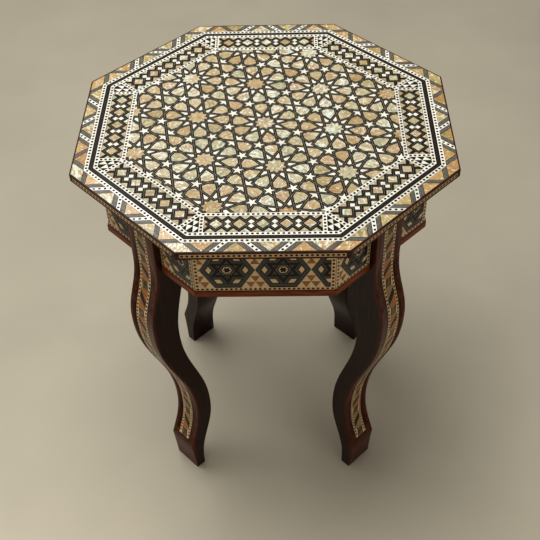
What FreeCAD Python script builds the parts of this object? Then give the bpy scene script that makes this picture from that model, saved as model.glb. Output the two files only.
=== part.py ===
import FreeCAD, Part
import Sketcher
import math
import os

# Octagonal inlaid stool: an octagonal top with a marquetry sheet, an octagonal apron and four sawn legs.
# Millimetres, +Z up, origin on the floor under the centre, front side of the octagon towards -Y.

os.makedirs("parts", exist_ok=True)
doc = FreeCAD.newDocument("stool")
sheet = doc.addObject("Spreadsheet::Sheet", "sizes")

# Driving dimensions
driving = [
    ("top_across", 356.0),
    ("total_height", 422.0),
    ("board_thickness", 6.8),
    ("inlay_thickness", 1.5),
    ("lipping_thickness", 1.4),
    ("zigzag_band_width", 11.3),
    ("string_width", 3.8),
    ("black_band_width", 4.5),
    ("rhombus_band_width", 20.6),
    ("edge_string_depth", 0.7),
    ("edge_string_setback", 4.0),
    ("glue_line", 0.05),
    ("smallest_chip", 0.6),
    ("zigzag_strap_width", 4.8),
    ("rhombus_module", 20.2),
    ("rhombus_strap_width", 3.2),
    ("star_spacing", 66.4),
    ("star_strap_width", 3.2),
    ("corner_rows", 3.0),
    ("base_across", 307.0),
    ("apron_thickness", 9.0),
    ("apron_height", 64.0),
    ("moulding_height", 7.3),
    ("moulding_proud", 1.2),
    ("apron_top_margin", 11.4),
    ("hexagon_radius", 24.9),
    ("hexagon_strap_width", 4.6),
    ("hexagram_reach", 6.7),
    ("hexagram_strap_width", 1.9),
    ("lozenge_border", 3.8),
    ("star_ground_reach", 3.9),
    ("star_point_reach", 4.1),
    ("hexagon_phase", 1.0),
    ("leg_width", 35.6),
    ("leg_proud", 7.8),
    ("leg_cheek", 17.0),
    ("knee_reach", 175.0),
    ("knee_height", 271.0),
    ("ankle_reach", 135.4),
    ("ankle_height", 100.0),
    ("toe_reach", 149.2),
    ("toe_height", 44.0),
    ("sole_reach", 145.5),
    ("sole_depth", 12.0),
    ("leg_inner_bulge", 144.6),
    ("ankle_depth", 20.2),
    ("leg_string_width", 2.8),
    ("leg_strip_width", 15.7),
    ("leg_modules", 11.0),
    ("leg_module", 33.0),
    ("leg_block_length", 10.2),
    ("leg_strap_width", 5.2),
    ("leg_strap_rise", 10.0),
    ("fit_clearance", 0.1),
    ("corner_block_leg", 20.0),
    ("corner_block_height", 46.0),
    ("batten_length", 86.0),
    ("batten_side", 15.0),
    ("screw_spacing", 52.0),
    ("screw_diameter", 3.5),
    ("screw_head", 7.0),
    ("screw_head_depth", 2.4),
    ("batten_screw_length", 19.5),
    ("leg_screw_length", 30.0),
    ("leg_screw_spacing", 30.0),
]
for row, (alias, value) in enumerate(driving, start=1):
    sheet.set("A%d" % row, alias)
    sheet.set("B%d" % row, "%g" % value)
    sheet.setAlias("B%d" % row, alias)
doc.recompute()


def size(alias):
    return float(sheet.get(alias))


# Places in the octagon, as expressions over the sheet, from the edge inwards
EIGHTH = "tan(22.5 deg)"
UNDERSIDE = "(sizes.total_height - sizes.inlay_thickness - sizes.board_thickness)"
BOARD_TOP = "(sizes.total_height - sizes.inlay_thickness)"
TOP_EDGE = "(sizes.top_across / 2)"
ZIGZAG_OUT = "(%s - sizes.lipping_thickness)" % TOP_EDGE
ZIGZAG_IN = "(%s - sizes.zigzag_band_width)" % ZIGZAG_OUT
BAND_OUT = "(%s - sizes.string_width)" % ZIGZAG_IN
BAND_IN = "(%s - sizes.black_band_width)" % BAND_OUT
RHOMBUS_OUT = "(%s - sizes.string_width)" % BAND_IN
RHOMBUS_IN = "(%s - sizes.rhombus_band_width)" % RHOMBUS_OUT
FIELD_EDGE = "(%s - sizes.string_width)" % RHOMBUS_IN
APRON_FACE = "(sizes.base_across / 2)"
BOARD_FACE = "(%s - sizes.inlay_thickness)" % APRON_FACE
BOARD_BACK = "(%s - sizes.apron_thickness)" % BOARD_FACE
APRON_FOOT = "(%s - sizes.apron_height)" % UNDERSIDE
MOULDING_FOOT = "(%s - sizes.moulding_height)" % APRON_FOOT

# The same places as numbers, for the pieces whose shape is worked out here
eighth = math.tan(math.radians(22.5))
corner_secant = 1.0 / math.cos(math.radians(22.5))
total_height = size("total_height")
inlay = size("inlay_thickness")
board_top = total_height - inlay
underside = board_top - size("board_thickness")
zigzag_out = size("top_across") / 2 - size("lipping_thickness")
zigzag_in = zigzag_out - size("zigzag_band_width")
band_out = zigzag_in - size("string_width")
band_in = band_out - size("black_band_width")
rhombus_out = band_in - size("string_width")
rhombus_in = rhombus_out - size("rhombus_band_width")
field_edge = rhombus_in - size("string_width")
apron_face = size("base_across") / 2
board_face = apron_face - inlay
board_back = board_face - size("apron_thickness")
apron_foot = underside - size("apron_height")
moulding_foot = apron_foot - size("moulding_height")
glue = size("glue_line")

SIDE_ANGLES = [45.0 * k for k in range(8)]
LEG_ANGLES = {
    "leg_front_right": -45.0,
    "leg_back_right": 45.0,
    "leg_back_left": 135.0,
    "leg_front_left": -135.0,
}
UP = FreeCAD.Vector(0, 0, 1)
ORIGIN = FreeCAD.Vector(0, 0, 0)


# Helpers for bodies with sketches
def new_body(label):
    body = doc.addObject("PartDesign::Body", label)
    body.Label = label
    body.AllowCompound = True
    return body


def origin_feature(body, role):
    for feature in body.Origin.OriginFeatures:
        if feature.Role == role:
            return feature
    raise ValueError(role)


def outline_sketch(body, name, role, points, offset_z="0", offset_x="0"):
    sketch = body.newObject("Sketcher::SketchObject", name)
    sketch.AttachmentSupport = (origin_feature(body, role), [""])
    sketch.MapMode = "FlatFace"
    sketch.setExpression("AttachmentOffset.Base.z", offset_z)
    sketch.setExpression("AttachmentOffset.Base.x", offset_x)
    count = len(points)
    starts = [value_pair(pair) for pair in points]
    for index in range(count):
        here = FreeCAD.Vector(*starts[index], 0)
        there = FreeCAD.Vector(*starts[(index + 1) % count], 0)
        sketch.addGeometry(Part.LineSegment(here, there), False)
    for index in range(count):
        sketch.addConstraint(Sketcher.Constraint("Coincident", index, 2, (index + 1) % count, 1))
    for index, pair in enumerate(points):
        for kind, expression, value in zip(("DistanceX", "DistanceY"), pair, starts[index]):
            if expression == "0":
                on_axis = "PointOnObject"
                axis = -2 if kind == "DistanceX" else -1
                sketch.addConstraint(Sketcher.Constraint(on_axis, index, 1, axis))
            else:
                number = sketch.addConstraint(Sketcher.Constraint(kind, -1, 1, index, 1, value))
                sketch.setExpression("Constraints[%d]" % number, expression)
    return sketch


def value_pair(pair):
    return [float(sheet.evalExpression(text)) for text in pair]


def circle_sketch(body, name, role, circles, offset_z):
    sketch = body.newObject("Sketcher::SketchObject", name)
    sketch.AttachmentSupport = (origin_feature(body, role), [""])
    sketch.MapMode = "FlatFace"
    sketch.setExpression("AttachmentOffset.Base.z", offset_z)
    for index, (across, along, radius) in enumerate(circles):
        x, y = value_pair((across, along))
        r = value_pair((radius, radius))[0]
        sketch.addGeometry(Part.Circle(FreeCAD.Vector(x, y, 0), UP, r), False)
        for kind, expression, value in (("DistanceX", across, x), ("DistanceY", along, y)):
            if expression == "0":
                axis = -2 if kind == "DistanceX" else -1
                sketch.addConstraint(Sketcher.Constraint("PointOnObject", index, 3, axis))
            else:
                number = sketch.addConstraint(Sketcher.Constraint(kind, -1, 1, index, 3, value))
                sketch.setExpression("Constraints[%d]" % number, expression)
        number = sketch.addConstraint(Sketcher.Constraint("Radius", index, r))
        sketch.setExpression("Constraints[%d]" % number, radius)
    return sketch


def pad(body, name, sketch, length):
    feature = body.newObject("PartDesign::Pad", name)
    feature.Profile = sketch
    feature.setExpression("Length", length)
    return feature


def pocket(body, name, sketch, length, backwards):
    feature = body.newObject("PartDesign::Pocket", name)
    feature.Profile = sketch
    feature.setExpression("Length", length)
    feature.Reversed = backwards
    return feature


def around(body, name, features, copies):
    feature = body.newObject("PartDesign::PolarPattern", name)
    feature.Originals = features
    feature.Axis = (origin_feature(body, "Z_Axis"), [""])
    feature.Angle = 360.0
    feature.Occurrences = copies
    body.Tip = feature
    return feature


def turned(angle):
    return FreeCAD.Placement(ORIGIN, FreeCAD.Rotation(UP, angle))


# One trapezoid per side of the octagon, mitred against its neighbours
def side_trapezoid(outer, inner):
    half_outer = "(%s * %s - sizes.glue_line)" % (outer, EIGHTH)
    half_inner = "(%s * %s - sizes.glue_line)" % (inner, EIGHTH)
    return [
        ("-%s" % half_outer, "-%s" % outer),
        (half_outer, "-%s" % outer),
        (half_inner, "-%s" % inner),
        ("-%s" % half_inner, "-%s" % inner),
    ]


def mitred_ring(label, outer, inner, foot, height):
    body = new_body(label)
    sketch = outline_sketch(body, label + "_side", "XY_Plane", side_trapezoid(outer, inner), foot)
    strip = pad(body, label + "_strip", sketch, height)
    around(body, label + "_sides", [strip], 8)
    return body


# Top board with the pilot holes for the batten screws
def make_top_board():
    body = new_body("top_board")
    prism = body.newObject("PartDesign::AdditivePrism", "top_board_octagon")
    prism.Polygon = 8
    prism.setExpression("Circumradius", "%s / cos(22.5 deg)" % ZIGZAG_OUT)
    prism.setExpression("Height", "sizes.board_thickness")
    prism.setExpression("AttachmentOffset.Base.z", UNDERSIDE)
    prism.AttachmentSupport = (origin_feature(body, "XY_Plane"), [""])
    prism.MapMode = "FlatFace"
    prism.setExpression("AttachmentOffset.Rotation.Angle", "22.5 deg")
    doc.recompute()
    reach = "-(%s - sizes.batten_side / 2)" % BOARD_BACK
    radius = "sizes.screw_diameter / 2 + sizes.glue_line"
    circles = [("-sizes.screw_spacing / 2", reach, radius), ("sizes.screw_spacing / 2", reach, radius)]
    sketch = circle_sketch(body, "top_pilot_circles", "XY_Plane", circles, UNDERSIDE)
    depth = "sizes.batten_screw_length - sizes.batten_side + sizes.fit_clearance"
    holes = pocket(body, "top_pilots", sketch, depth, True)
    around(body, "top_pilot_pattern", [holes], 4)


# Edge lippings with a groove for the edge string, and the string in it
EDGE_MIDDLE = "(%s + (sizes.inlay_thickness + sizes.board_thickness) / 2)" % UNDERSIDE


def edge_rectangle(depth, growth):
    half = "(%s * %s - sizes.edge_string_setback + %s)" % (TOP_EDGE, EIGHTH, growth)
    back = "(%s - sizes.edge_string_depth - %s)" % (TOP_EDGE, growth)
    front = "(%s - %s)" % (TOP_EDGE, depth)
    return [
        ("-%s" % half, "-%s" % front),
        (half, "-%s" % front),
        (half, "-%s" % back),
        ("-%s" % half, "-%s" % back),
    ]


def make_edge():
    body = new_body("edge_lippings")
    sketch = outline_sketch(body, "lipping_side", "XY_Plane", side_trapezoid(TOP_EDGE, ZIGZAG_OUT), UNDERSIDE)
    strip = pad(body, "lipping_strip", sketch, "sizes.inlay_thickness + sizes.board_thickness")
    groove_foot = "%s - sizes.string_width / 2 - sizes.glue_line" % EDGE_MIDDLE
    groove_outline = edge_rectangle("-sizes.edge_string_depth", "sizes.glue_line")
    groove_sketch = outline_sketch(body, "lipping_groove_outline", "XY_Plane", groove_outline, groove_foot)
    groove = pocket(body, "lipping_groove", groove_sketch, "sizes.string_width + 2 * sizes.glue_line", True)
    around(body, "lipping_sides", [strip, groove], 8)
    string_body = new_body("edge_strings")
    string_foot = "%s - sizes.string_width / 2" % EDGE_MIDDLE
    outline = edge_rectangle("0 * sizes.glue_line", "0 * sizes.glue_line")
    string_sketch = outline_sketch(string_body, "edge_string_outline", "XY_Plane", outline, string_foot)
    string = pad(string_body, "edge_string", string_sketch, "sizes.string_width")
    around(string_body, "edge_string_sides", [string], 8)


# Flat outlines for the inlay: lists of (x, y) pairs in the plane of one side or of the whole top
def turn_points(points, angle):
    c = math.cos(math.radians(angle))
    s = math.sin(math.radians(angle))
    return [(x * c - y * s, x * s + y * c) for x, y in points]


def move_points(points, dx, dy):
    return [(x + dx, y + dy) for x, y in points]


def scale_points(points, factor):
    return [(x * factor, y * factor) for x, y in points]


def signed_area(points):
    following = points[1:] + points[:1]
    return sum(a[0] * b[1] - b[0] * a[1] for a, b in zip(points, following)) / 2


def inset(points, distance):
    if signed_area(points) < 0:
        points = points[::-1]
    count = len(points)
    lines = []
    for index in range(count):
        (x0, y0), (x1, y1) = points[index], points[(index + 1) % count]
        length = math.hypot(x1 - x0, y1 - y0)
        nx, ny = (y0 - y1) / length, (x1 - x0) / length
        lines.append((nx, ny, nx * x0 + ny * y0 + distance))
    corners = []
    for index in range(count):
        a, b, c = lines[index - 1]
        d, e, f = lines[index]
        determinant = a * e - b * d
        corners.append(((c * e - b * f) / determinant, (a * f - c * d) / determinant))
    return corners


def keep_side(points, nx, ny, limit):
    kept = []
    count = len(points)
    for index in range(count):
        (x0, y0), (x1, y1) = points[index], points[(index + 1) % count]
        here = nx * x0 + ny * y0 - limit
        there = nx * x1 + ny * y1 - limit
        if here <= 0:
            kept.append((x0, y0))
        if here * there < 0:
            share = here / (here - there)
            kept.append((x0 + share * (x1 - x0), y0 + share * (y1 - y0)))
    return kept


def rectangle(left, right, low, high):
    return [(left, low), (right, low), (right, high), (left, high)]


def regular(count, radius, first_angle):
    step = 360.0 / count
    return [polar(radius, first_angle + step * k) for k in range(count)]


def polar(radius, angle):
    return (radius * math.cos(math.radians(angle)), radius * math.sin(math.radians(angle)))


def big_enough(points):
    return len(points) > 2 and abs(signed_area(points)) > size("smallest_chip")


def flat_face(points):
    corners = [FreeCAD.Vector(x, y, 0) for x, y in points]
    return Part.Face(Part.makePolygon(corners + corners[:1]))


def inside(points, outline, margin):
    following = outline[1:] + outline[:1]
    for (x0, y0), (x1, y1) in zip(outline, following):
        length = math.hypot(x1 - x0, y1 - y0)
        for x, y in points:
            if ((x1 - x0) * (y - y0) - (y1 - y0) * (x - x0)) / length < margin:
                return False
    return True


def clipped_faces(points, outline):
    if inside(points, outline, glue):
        return [flat_face(points)]
    common = flat_face(points).common(flat_face(outline))
    return [face for face in common.Faces if face.Area > size("smallest_chip")]


# A sheet of strapwork is the outline less the tiles, each grown by the glue line. Holes that stand free are
# wires of the face, and holes that cross the outline or come near another tile are cut.
NEAR_GLUE_LINES = 3


def strapwork_face(outline, tiles):
    wires = [flat_face(outline).OuterWire]
    free = []
    crossing = []
    for tile in tiles:
        grown = inset(tile, -glue)
        if inside(grown, outline, glue) and not any(near(tile, other) for other in free):
            wires.append(flat_face(grown).OuterWire)
            free.append(tile)
        else:
            crossing.append(flat_face(grown))
    face = Part.Face(wires, "Part::FaceMakerBullseye")
    if crossing:
        face = face.cut(crossing)
    return [part for part in face.Faces if part.Area > size("smallest_chip")]


def near(tile, other):
    reach = NEAR_GLUE_LINES * glue
    for axis in (0, 1):
        here = [point[axis] for point in tile]
        there = [point[axis] for point in other]
        if min(here) > max(there) + reach or min(there) > max(here) + reach:
            return False
    gaps = [gap_to_edges(point, other) for point in tile]
    gaps += [gap_to_edges(point, tile) for point in other]
    return min(gaps) < reach


def gap_to_edges(point, corners):
    gaps = []
    for index, (x0, y0) in enumerate(corners):
        x1, y1 = corners[(index + 1) % len(corners)]
        run, rise = x1 - x0, y1 - y0
        share = ((point[0] - x0) * run + (point[1] - y0) * rise) / (run ** 2 + rise ** 2)
        share = min(1, max(0, share))
        gaps.append(math.dist(point, (x0 + share * run, y0 + share * rise)))
    return min(gaps)


def raised(faces, foot, height):
    solids = []
    for face in faces:
        solid = face.copy()
        solid.translate(UP * foot)
        solids.append(solid.extrude(UP * height))
    return solids


def store(label, solids):
    part = doc.addObject("Part::Feature", label)
    part.Label = label
    part.Shape = Part.makeCompound(solids)
    return part


def rotated_copies(solids, angles):
    copies = []
    for angle in angles:
        for solid in solids:
            copy = solid.copy()
            copy.rotate(ORIGIN, UP, angle)
            copies.append(copy)
    return copies


def store_flat(label, faces, angles):
    store(label, rotated_copies(raised(faces, board_top, inlay), angles))


# Star field: ten-point stars on a lattice of decagons that share edges, with a bowtie between each four.
# All its points are ratios of the star spacing, from the angles of the decagon.
def tangent(angle):
    return math.tan(math.radians(angle))


STAR_TIP = (3 - math.sqrt(5)) / 4
STAR_NOTCH = STAR_TIP * tangent(36)
KITE_POINT = tangent(36) / 2
PETAL_HALF = STAR_TIP * math.sin(math.radians(36))
LONG_SLOPE = PETAL_HALF * tangent(54)
SHORT_SLOPE = PETAL_HALF * tangent(18)
DECAGON_FLAT = 1 / 2
DECAGON_CORNER = DECAGON_FLAT / math.cos(math.radians(18))
SMALL_STAR_TIP = DECAGON_FLAT * tangent(18)
SMALL_STAR_NOTCH = SMALL_STAR_TIP * (3 - math.sqrt(5)) / 2
BOWTIE = math.cos(math.radians(36))
LATTICE_TURN = -45.0


def star_points(count, tip, notch, first_angle):
    step = 180.0 / count
    points = []
    for k in range(count):
        points.append(polar(tip, first_angle + 2 * step * k))
        points.append(polar(notch, first_angle + 2 * step * k + step))
    return points


def decagon_tiles():
    petal = [
        (STAR_TIP, 0),
        (STAR_TIP + LONG_SLOPE, -PETAL_HALF),
        (DECAGON_FLAT - SHORT_SLOPE, -PETAL_HALF),
        (DECAGON_FLAT, 0),
        (DECAGON_FLAT - SHORT_SLOPE, PETAL_HALF),
        (STAR_TIP + LONG_SLOPE, PETAL_HALF),
    ]
    kite = [
        polar(STAR_NOTCH, 18),
        polar(STAR_TIP, 0),
        polar(KITE_POINT, 18),
        polar(STAR_TIP, 36),
    ]
    tiles = {"ten_point_stars": [star_points(10, STAR_TIP, STAR_NOTCH, 0)]}
    tiles["star_petals"] = [turn_points(petal, 36 * k) for k in range(10)]
    tiles["star_kites"] = [turn_points(kite, 36 * k) for k in range(10)]
    half_petal = [
        (DECAGON_FLAT, 0),
        (DECAGON_FLAT + SHORT_SLOPE, -PETAL_HALF),
        (BOWTIE - LONG_SLOPE, -PETAL_HALF),
        (BOWTIE, 0),
        (BOWTIE - LONG_SLOPE, PETAL_HALF),
        (DECAGON_FLAT + SHORT_SLOPE, PETAL_HALF),
    ]
    cut_star = [
        (BOWTIE - LONG_SLOPE, PETAL_HALF),
        (BOWTIE, 0),
        (BOWTIE + LONG_SLOPE, PETAL_HALF),
        (BOWTIE + SHORT_SLOPE, PETAL_HALF),
        (BOWTIE, 2 * PETAL_HALF),
        (BOWTIE - SHORT_SLOPE, PETAL_HALF),
    ]
    tiles["star_petals"].append(half_petal)
    tiles["star_petals"].append([(2 * BOWTIE - x, y) for x, y in half_petal])
    tiles["cut_stars"] = [cut_star, [(x, -y) for x, y in cut_star]]
    tiles["five_point_stars"] = []
    for k in range(10):
        angle = 18 + 36 * k
        if angle not in (90, 270):
            small = star_points(5, SMALL_STAR_TIP, SMALL_STAR_NOTCH, angle + 180)
            cx, cy = polar(DECAGON_CORNER, angle)
            tiles["five_point_stars"].append(move_points(small, cx, cy))
    return tiles


def field_tiles():
    spacing = size("star_spacing")
    half_strap = size("star_strap_width") / 2
    reach = field_edge * corner_secant / spacing + 1
    steps = range(-math.ceil(reach), math.ceil(reach) + 1)
    cell = decagon_tiles()
    found = {name: {} for name in cell}
    for i in steps:
        for j in steps:
            dx = (i + j) * BOWTIE
            dy = (i - j) * math.sin(math.radians(36))
            if math.hypot(dx, dy) > reach:
                continue
            for name, tiles in cell.items():
                for tile in tiles:
                    placed = turn_points(move_points(tile, dx, dy), LATTICE_TURN)
                    placed = scale_points(placed, spacing)
                    middle = middle_of(placed)
                    key = (round(middle[0] / half_strap), round(middle[1] / half_strap))
                    if not has_neighbour(found[name], key):
                        found[name][key] = inset(placed, half_strap)
    return {name: list(tiles.values()) for name, tiles in found.items()}


def middle_of(points):
    count = len(points)
    return (sum(x for x, y in points) / count, sum(y for x, y in points) / count)


def has_neighbour(found, key):
    return any((key[0] + a, key[1] + b) in found for a in (-1, 0, 1) for b in (-1, 0, 1))


def make_star_field():
    outline = regular(8, (field_edge - glue) * corner_secant, 22.5)
    kinds = field_tiles()
    kept = []
    for label, tiles in kinds.items():
        faces = []
        for tile in tiles:
            if max(math.hypot(x, y) for x, y in tile) > field_edge and not near_outline(tile, outline):
                continue
            pieces = clipped_faces(tile, outline)
            if pieces:
                kept.append(tile)
                faces.extend(pieces)
        store_flat(label, faces, [0])
    store_flat("star_straps", strapwork_face(outline, kept), [0])


def near_outline(tile, outline):
    return any(inside([point], outline, 0) for point in tile)


# Rhombus band, drawn for the side that faces -Y with y counted outwards from the middle of the band.
# The line that edges the triangles is a share of the strap.
RHOMBUS_EDGE_SHARE = 1 / 8
WHOLE_SHARE = 0.9


def rhombus_tiles(half_length):
    module = size("rhombus_module")
    half_height = (rhombus_out - rhombus_in) / 2 - glue
    tall = module / 2 - size("rhombus_strap_width") * math.sqrt(2)
    edge = size("rhombus_strap_width") * RHOMBUS_EDGE_SHARE
    frame = rectangle(-half_length, half_length, -half_height, half_height)
    tiles = {"rhombus_pearls": [], "rhombus_bones": [], "rhombus_triangles": []}
    count = math.ceil(half_length / module)
    for k in range(-count, count + 1):
        tiles["rhombus_pearls"].append(move_points(regular(4, tall, 0), k * module, 0))
        for side in (-1, 1):
            small = regular(4, tall / 2, 0)
            tiles["rhombus_bones"].append(move_points(small, (k + 1 / 2) * module, side * tall / 2))
            for half in (-1, 1):
                apex = (k * module + half * module / 4, side * (module / 4))
                rise = half_height - module / 4
                triangle = [apex, (apex[0] + rise, side * half_height), (apex[0] - rise, side * half_height)]
                triangle = inset(triangle, edge)
                tiles["rhombus_triangles"].append(trim_to_module(triangle, apex[0], module / 4 - edge / 2))
    trimmed = {}
    for label, shapes in tiles.items():
        cut = [trim_to_frame(shape, frame) for shape in shapes]
        trimmed[label] = [shape for shape in cut if big_enough(shape)]
    whole = abs(signed_area(regular(4, tall / 2, 0)))
    halves = [shape for shape in trimmed["rhombus_bones"] if abs(signed_area(shape)) < WHOLE_SHARE * whole]
    trimmed["rhombus_triangles"].extend(halves)
    trimmed["rhombus_bones"] = [shape for shape in trimmed["rhombus_bones"] if shape not in halves]
    return frame, trimmed


def trim_to_module(points, middle, half):
    points = keep_side(points, 1, 0, middle + half)
    return keep_side(points, -1, 0, half - middle)


def trim_to_frame(points, frame):
    left, low = frame[0]
    right, high = frame[2]
    for nx, ny, limit in ((1, 0, right), (-1, 0, -left), (0, 1, high), (0, -1, -low)):
        points = keep_side(points, nx, ny, limit)
    return points


def make_rhombus_band():
    half_length = rhombus_in * eighth - size("string_width") - glue
    middle = (rhombus_out + rhombus_in) / 2
    frame, tiles = rhombus_tiles(half_length)
    solid_tiles = [tile for shapes in tiles.values() for tile in shapes]

    def placed(points):
        return [(x, -middle - y) for x, y in points]

    for label, shapes in tiles.items():
        store_flat(label, [flat_face(placed(shape)) for shape in shapes], SIDE_ANGLES)
    straps = strapwork_face(placed(frame)[::-1], [placed(tile) for tile in solid_tiles])
    store_flat("rhombus_straps", straps, SIDE_ANGLES)


# Corners of the rhombus band: a short string square to each side, and between them a kite of black and bone
# triangles. The shares are of the kite's short side, and of its middle line from the inner tip.
CORNER_SIDE_SHARES = (0.34, 0.72)
CORNER_MIDDLE_SHARE = 0.59


def make_corners():
    string = size("string_width")
    start = rhombus_in * eighth
    strip = rectangle(start - string, start, -rhombus_out + glue, -rhombus_in)
    strip = keep_side(strip, 0, 1, -rhombus_in - glue)
    mirrored = [(-x, y) for x, y in strip]
    store_flat("corner_strings", [flat_face(strip), flat_face(mirrored)], SIDE_ANGLES)
    tip = (start + glue, -rhombus_in - glue)
    foot = (start + glue, -rhombus_out + glue)
    far = (rhombus_out * eighth - glue, -rhombus_out + glue)
    axis = math.degrees(math.atan2(-1, eighth))
    first, second = [between(tip, foot, share) for share in CORNER_SIDE_SHARES]
    middle = between(tip, far, CORNER_MIDDLE_SHARE)
    low = between(foot, far, CORNER_MIDDLE_SHARE)
    first_over, second_over, foot_over, low_over = reflected([first, second, foot, low], axis)
    ebony = [
        [tip, first, first_over],
        [first, second, middle],
        [first_over, middle, second_over],
        [second, foot, low],
        [second_over, low_over, foot_over],
        [middle, low, far, low_over],
    ]
    bone = [
        [first, middle, first_over],
        [second, low, middle],
        [second_over, middle, low_over],
    ]
    for label, triangles in (("corner_ebony_triangles", ebony), ("corner_bone_triangles", bone)):
        faces = [flat_face(inset(triangle, glue)) for triangle in triangles]
        store_flat(label, faces, SIDE_ANGLES)


def between(first, second, share):
    return (first[0] + share * (second[0] - first[0]), first[1] + share * (second[1] - first[1]))


def reflected(points, axis_angle):
    flipped = [(x, -y) for x, y in turn_points(points, -axis_angle)]
    return turn_points(flipped, axis_angle)


# Zigzag band: slanting straps, short dotted strings and pearl triangles along each side
RIGHTWARD = 1
LEFTWARD = -1
ZIGZAG_ORDER = [
    ("strap", RIGHTWARD), ("point_out", 0),
    ("strap", LEFTWARD), ("string", LEFTWARD), ("strap", LEFTWARD), ("point_in", 0),
    ("strap", RIGHTWARD), ("string", RIGHTWARD), ("strap", RIGHTWARD), ("point_out", 0),
    ("strap", LEFTWARD), ("string", LEFTWARD), ("strap", LEFTWARD), ("point_in", 0),
    ("strap", RIGHTWARD), ("point_out", 0), ("strap", LEFTWARD),
]


def make_zigzag_band():
    inner = zigzag_in + glue
    outer = zigzag_out - glue
    straps = sum(1 for kind, way in ZIGZAG_ORDER if kind == "strap")
    strings = sum(1 for kind, way in ZIGZAG_ORDER if kind == "string")
    points_out = sum(1 for kind, way in ZIGZAG_ORDER if kind == "point_out")
    length = 2 * inner * eighth - 2 * glue
    lean = zigzag_lean(length, straps, strings, points_out, outer - inner)
    slant = math.hypot(lean, outer - inner) / (outer - inner)
    widths = {"strap": size("zigzag_strap_width") * slant, "string": size("string_width") * slant}
    faces = {"strap": [], "string": [], "pearl": []}
    x = -length / 2
    corner_reach = None
    for kind, way in ZIGZAG_ORDER:
        if kind == "point_out":
            shape = [(x, -inner), (x + 2 * lean, -inner), (x + lean, -outer)]
            faces["pearl"].append(shape)
            x += 2 * lean
        elif kind == "point_in":
            shape = [(x, -inner), (x + lean, -outer), (x - lean, -outer)]
            faces["pearl"].append(shape)
        else:
            width = widths[kind]
            shift = way * lean
            shape = [(x, -inner), (x + width, -inner), (x + width + shift, -outer), (x + shift, -outer)]
            faces[kind].append(shape)
            if corner_reach is None:
                corner_reach = x + lean
            x += width
    corner = [
        (-length / 2, -inner),
        (corner_reach, -outer),
        (-outer * eighth, -outer),
    ]
    axis = math.degrees(math.atan2(-1, -eighth))
    corner.append(reflected([corner[1]], axis)[0])
    faces["pearl"].append(corner)
    for kind, label in (("strap", "zigzag_straps"), ("string", "zigzag_strings"), ("pearl", "zigzag_pearls")):
        trimmed = [flat_face(inset(shape, glue / 2)) for shape in faces[kind]]
        store_flat(label, trimmed, SIDE_ANGLES)


def zigzag_lean(length, straps, strings, points_out, height):
    lean = height
    for _ in range(len(ZIGZAG_ORDER)):
        slant = math.hypot(lean, height) / height
        taken = straps * size("zigzag_strap_width") * slant + strings * size("string_width") * slant
        lean = (length - taken) / (2 * points_out)
    return lean


# Apron inlay, drawn flat: x along the board, y up from the foot of the board
def hexagon_tiles(first_x, last_x, low, high):
    radius = size("hexagon_radius")
    middle = (low + high) / 2
    reach = size("hexagram_reach")
    strap = size("hexagram_strap_width") / 2
    rim = size("hexagon_strap_width")
    flat = math.cos(math.radians(30))
    frame = rectangle(first_x, last_x, low, high)
    tiles = {"apron_bones": [], "apron_browns": [], "apron_star_grounds": [], "apron_stars": []}
    count = math.ceil((last_x - first_x) / (2 * radius)) + 1
    start = first_x + size("hexagon_phase") + radius
    for k in range(-1, count):
        x = start + 2 * radius * k
        for turn in range(6):
            inner_corner = (reach + strap + size("lozenge_border")) / flat
            outer_corner = radius - rim / flat
            half_run = (outer_corner - inner_corner) / 2
            centre = (outer_corner + inner_corner) / 2
            lozenge = [(inner_corner, 0), (centre, -half_run / tangent(30)), (outer_corner, 0)]
            lozenge.append((centre, half_run / tangent(30)))
            lozenge = inset(lozenge, strap / 2)
            tiles["apron_bones"].append(move_points(turn_points(lozenge, 60 * turn), x, middle))
            base = reach + strap
            tip = 2 * reach - 2 * strap
            half_base = (tip - base) * tangent(30)
            small = [(base, -half_base), (tip, 0), (base, half_base)]
            small = move_points(turn_points(small, 60 * turn + 30), x, middle)
            tiles["apron_browns"].append(small)
        ground = regular(6, size("star_ground_reach") / flat, 0)
        tiles["apron_star_grounds"].append(move_points(ground, x, middle))
        for side in (-1, 1):
            tiles_between(tiles, x + radius, middle, side, radius, (high - low) / 2)
    trimmed = {}
    for label, shapes in tiles.items():
        cut = [trim_to_frame(shape, frame) for shape in shapes]
        trimmed[label] = [shape for shape in cut if big_enough(shape)]
    return frame, trimmed, [(start + 2 * radius * k, middle) for k in range(-1, count)]


def tiles_between(tiles, x, middle, side, radius, height):
    rows = int(size("corner_rows"))
    row_height = height / rows
    half = row_height / tangent(60)
    for row in range(rows):
        top = middle + side * row * row_height
        foot = middle + side * (row + 1) * row_height
        for k in range(row + 1):
            px = x + (2 * k - row) * half
            up = [(px, top), (px - half, foot), (px + half, foot)]
            tiles["apron_bones"].append(inset(up, glue))
            if k < row:
                down = [(px + half, foot), (px, top), (px + 2 * half, top)]
                tiles["apron_browns"].append(inset(down, glue))


def stand_up(faces, face_distance, thickness, angle):
    solids = []
    for face in faces:
        solid = face.copy()
        solid.rotate(ORIGIN, FreeCAD.Vector(1, 0, 0), 90)
        solid.translate(FreeCAD.Vector(0, -face_distance + thickness, 0))
        solid = solid.extrude(FreeCAD.Vector(0, -thickness, 0))
        solid.rotate(ORIGIN, UP, angle)
        solids.append(solid)
    return solids


def apron_frame_strings(left, right, low, high):
    width = size("string_width")
    return [
        rectangle(left, right, low, low + width - glue),
        rectangle(left, right, high - width + glue, high),
        rectangle(left, left + width - glue, low + width, high - width),
        rectangle(right - width + glue, right, low + width, high - width),
    ]


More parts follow.
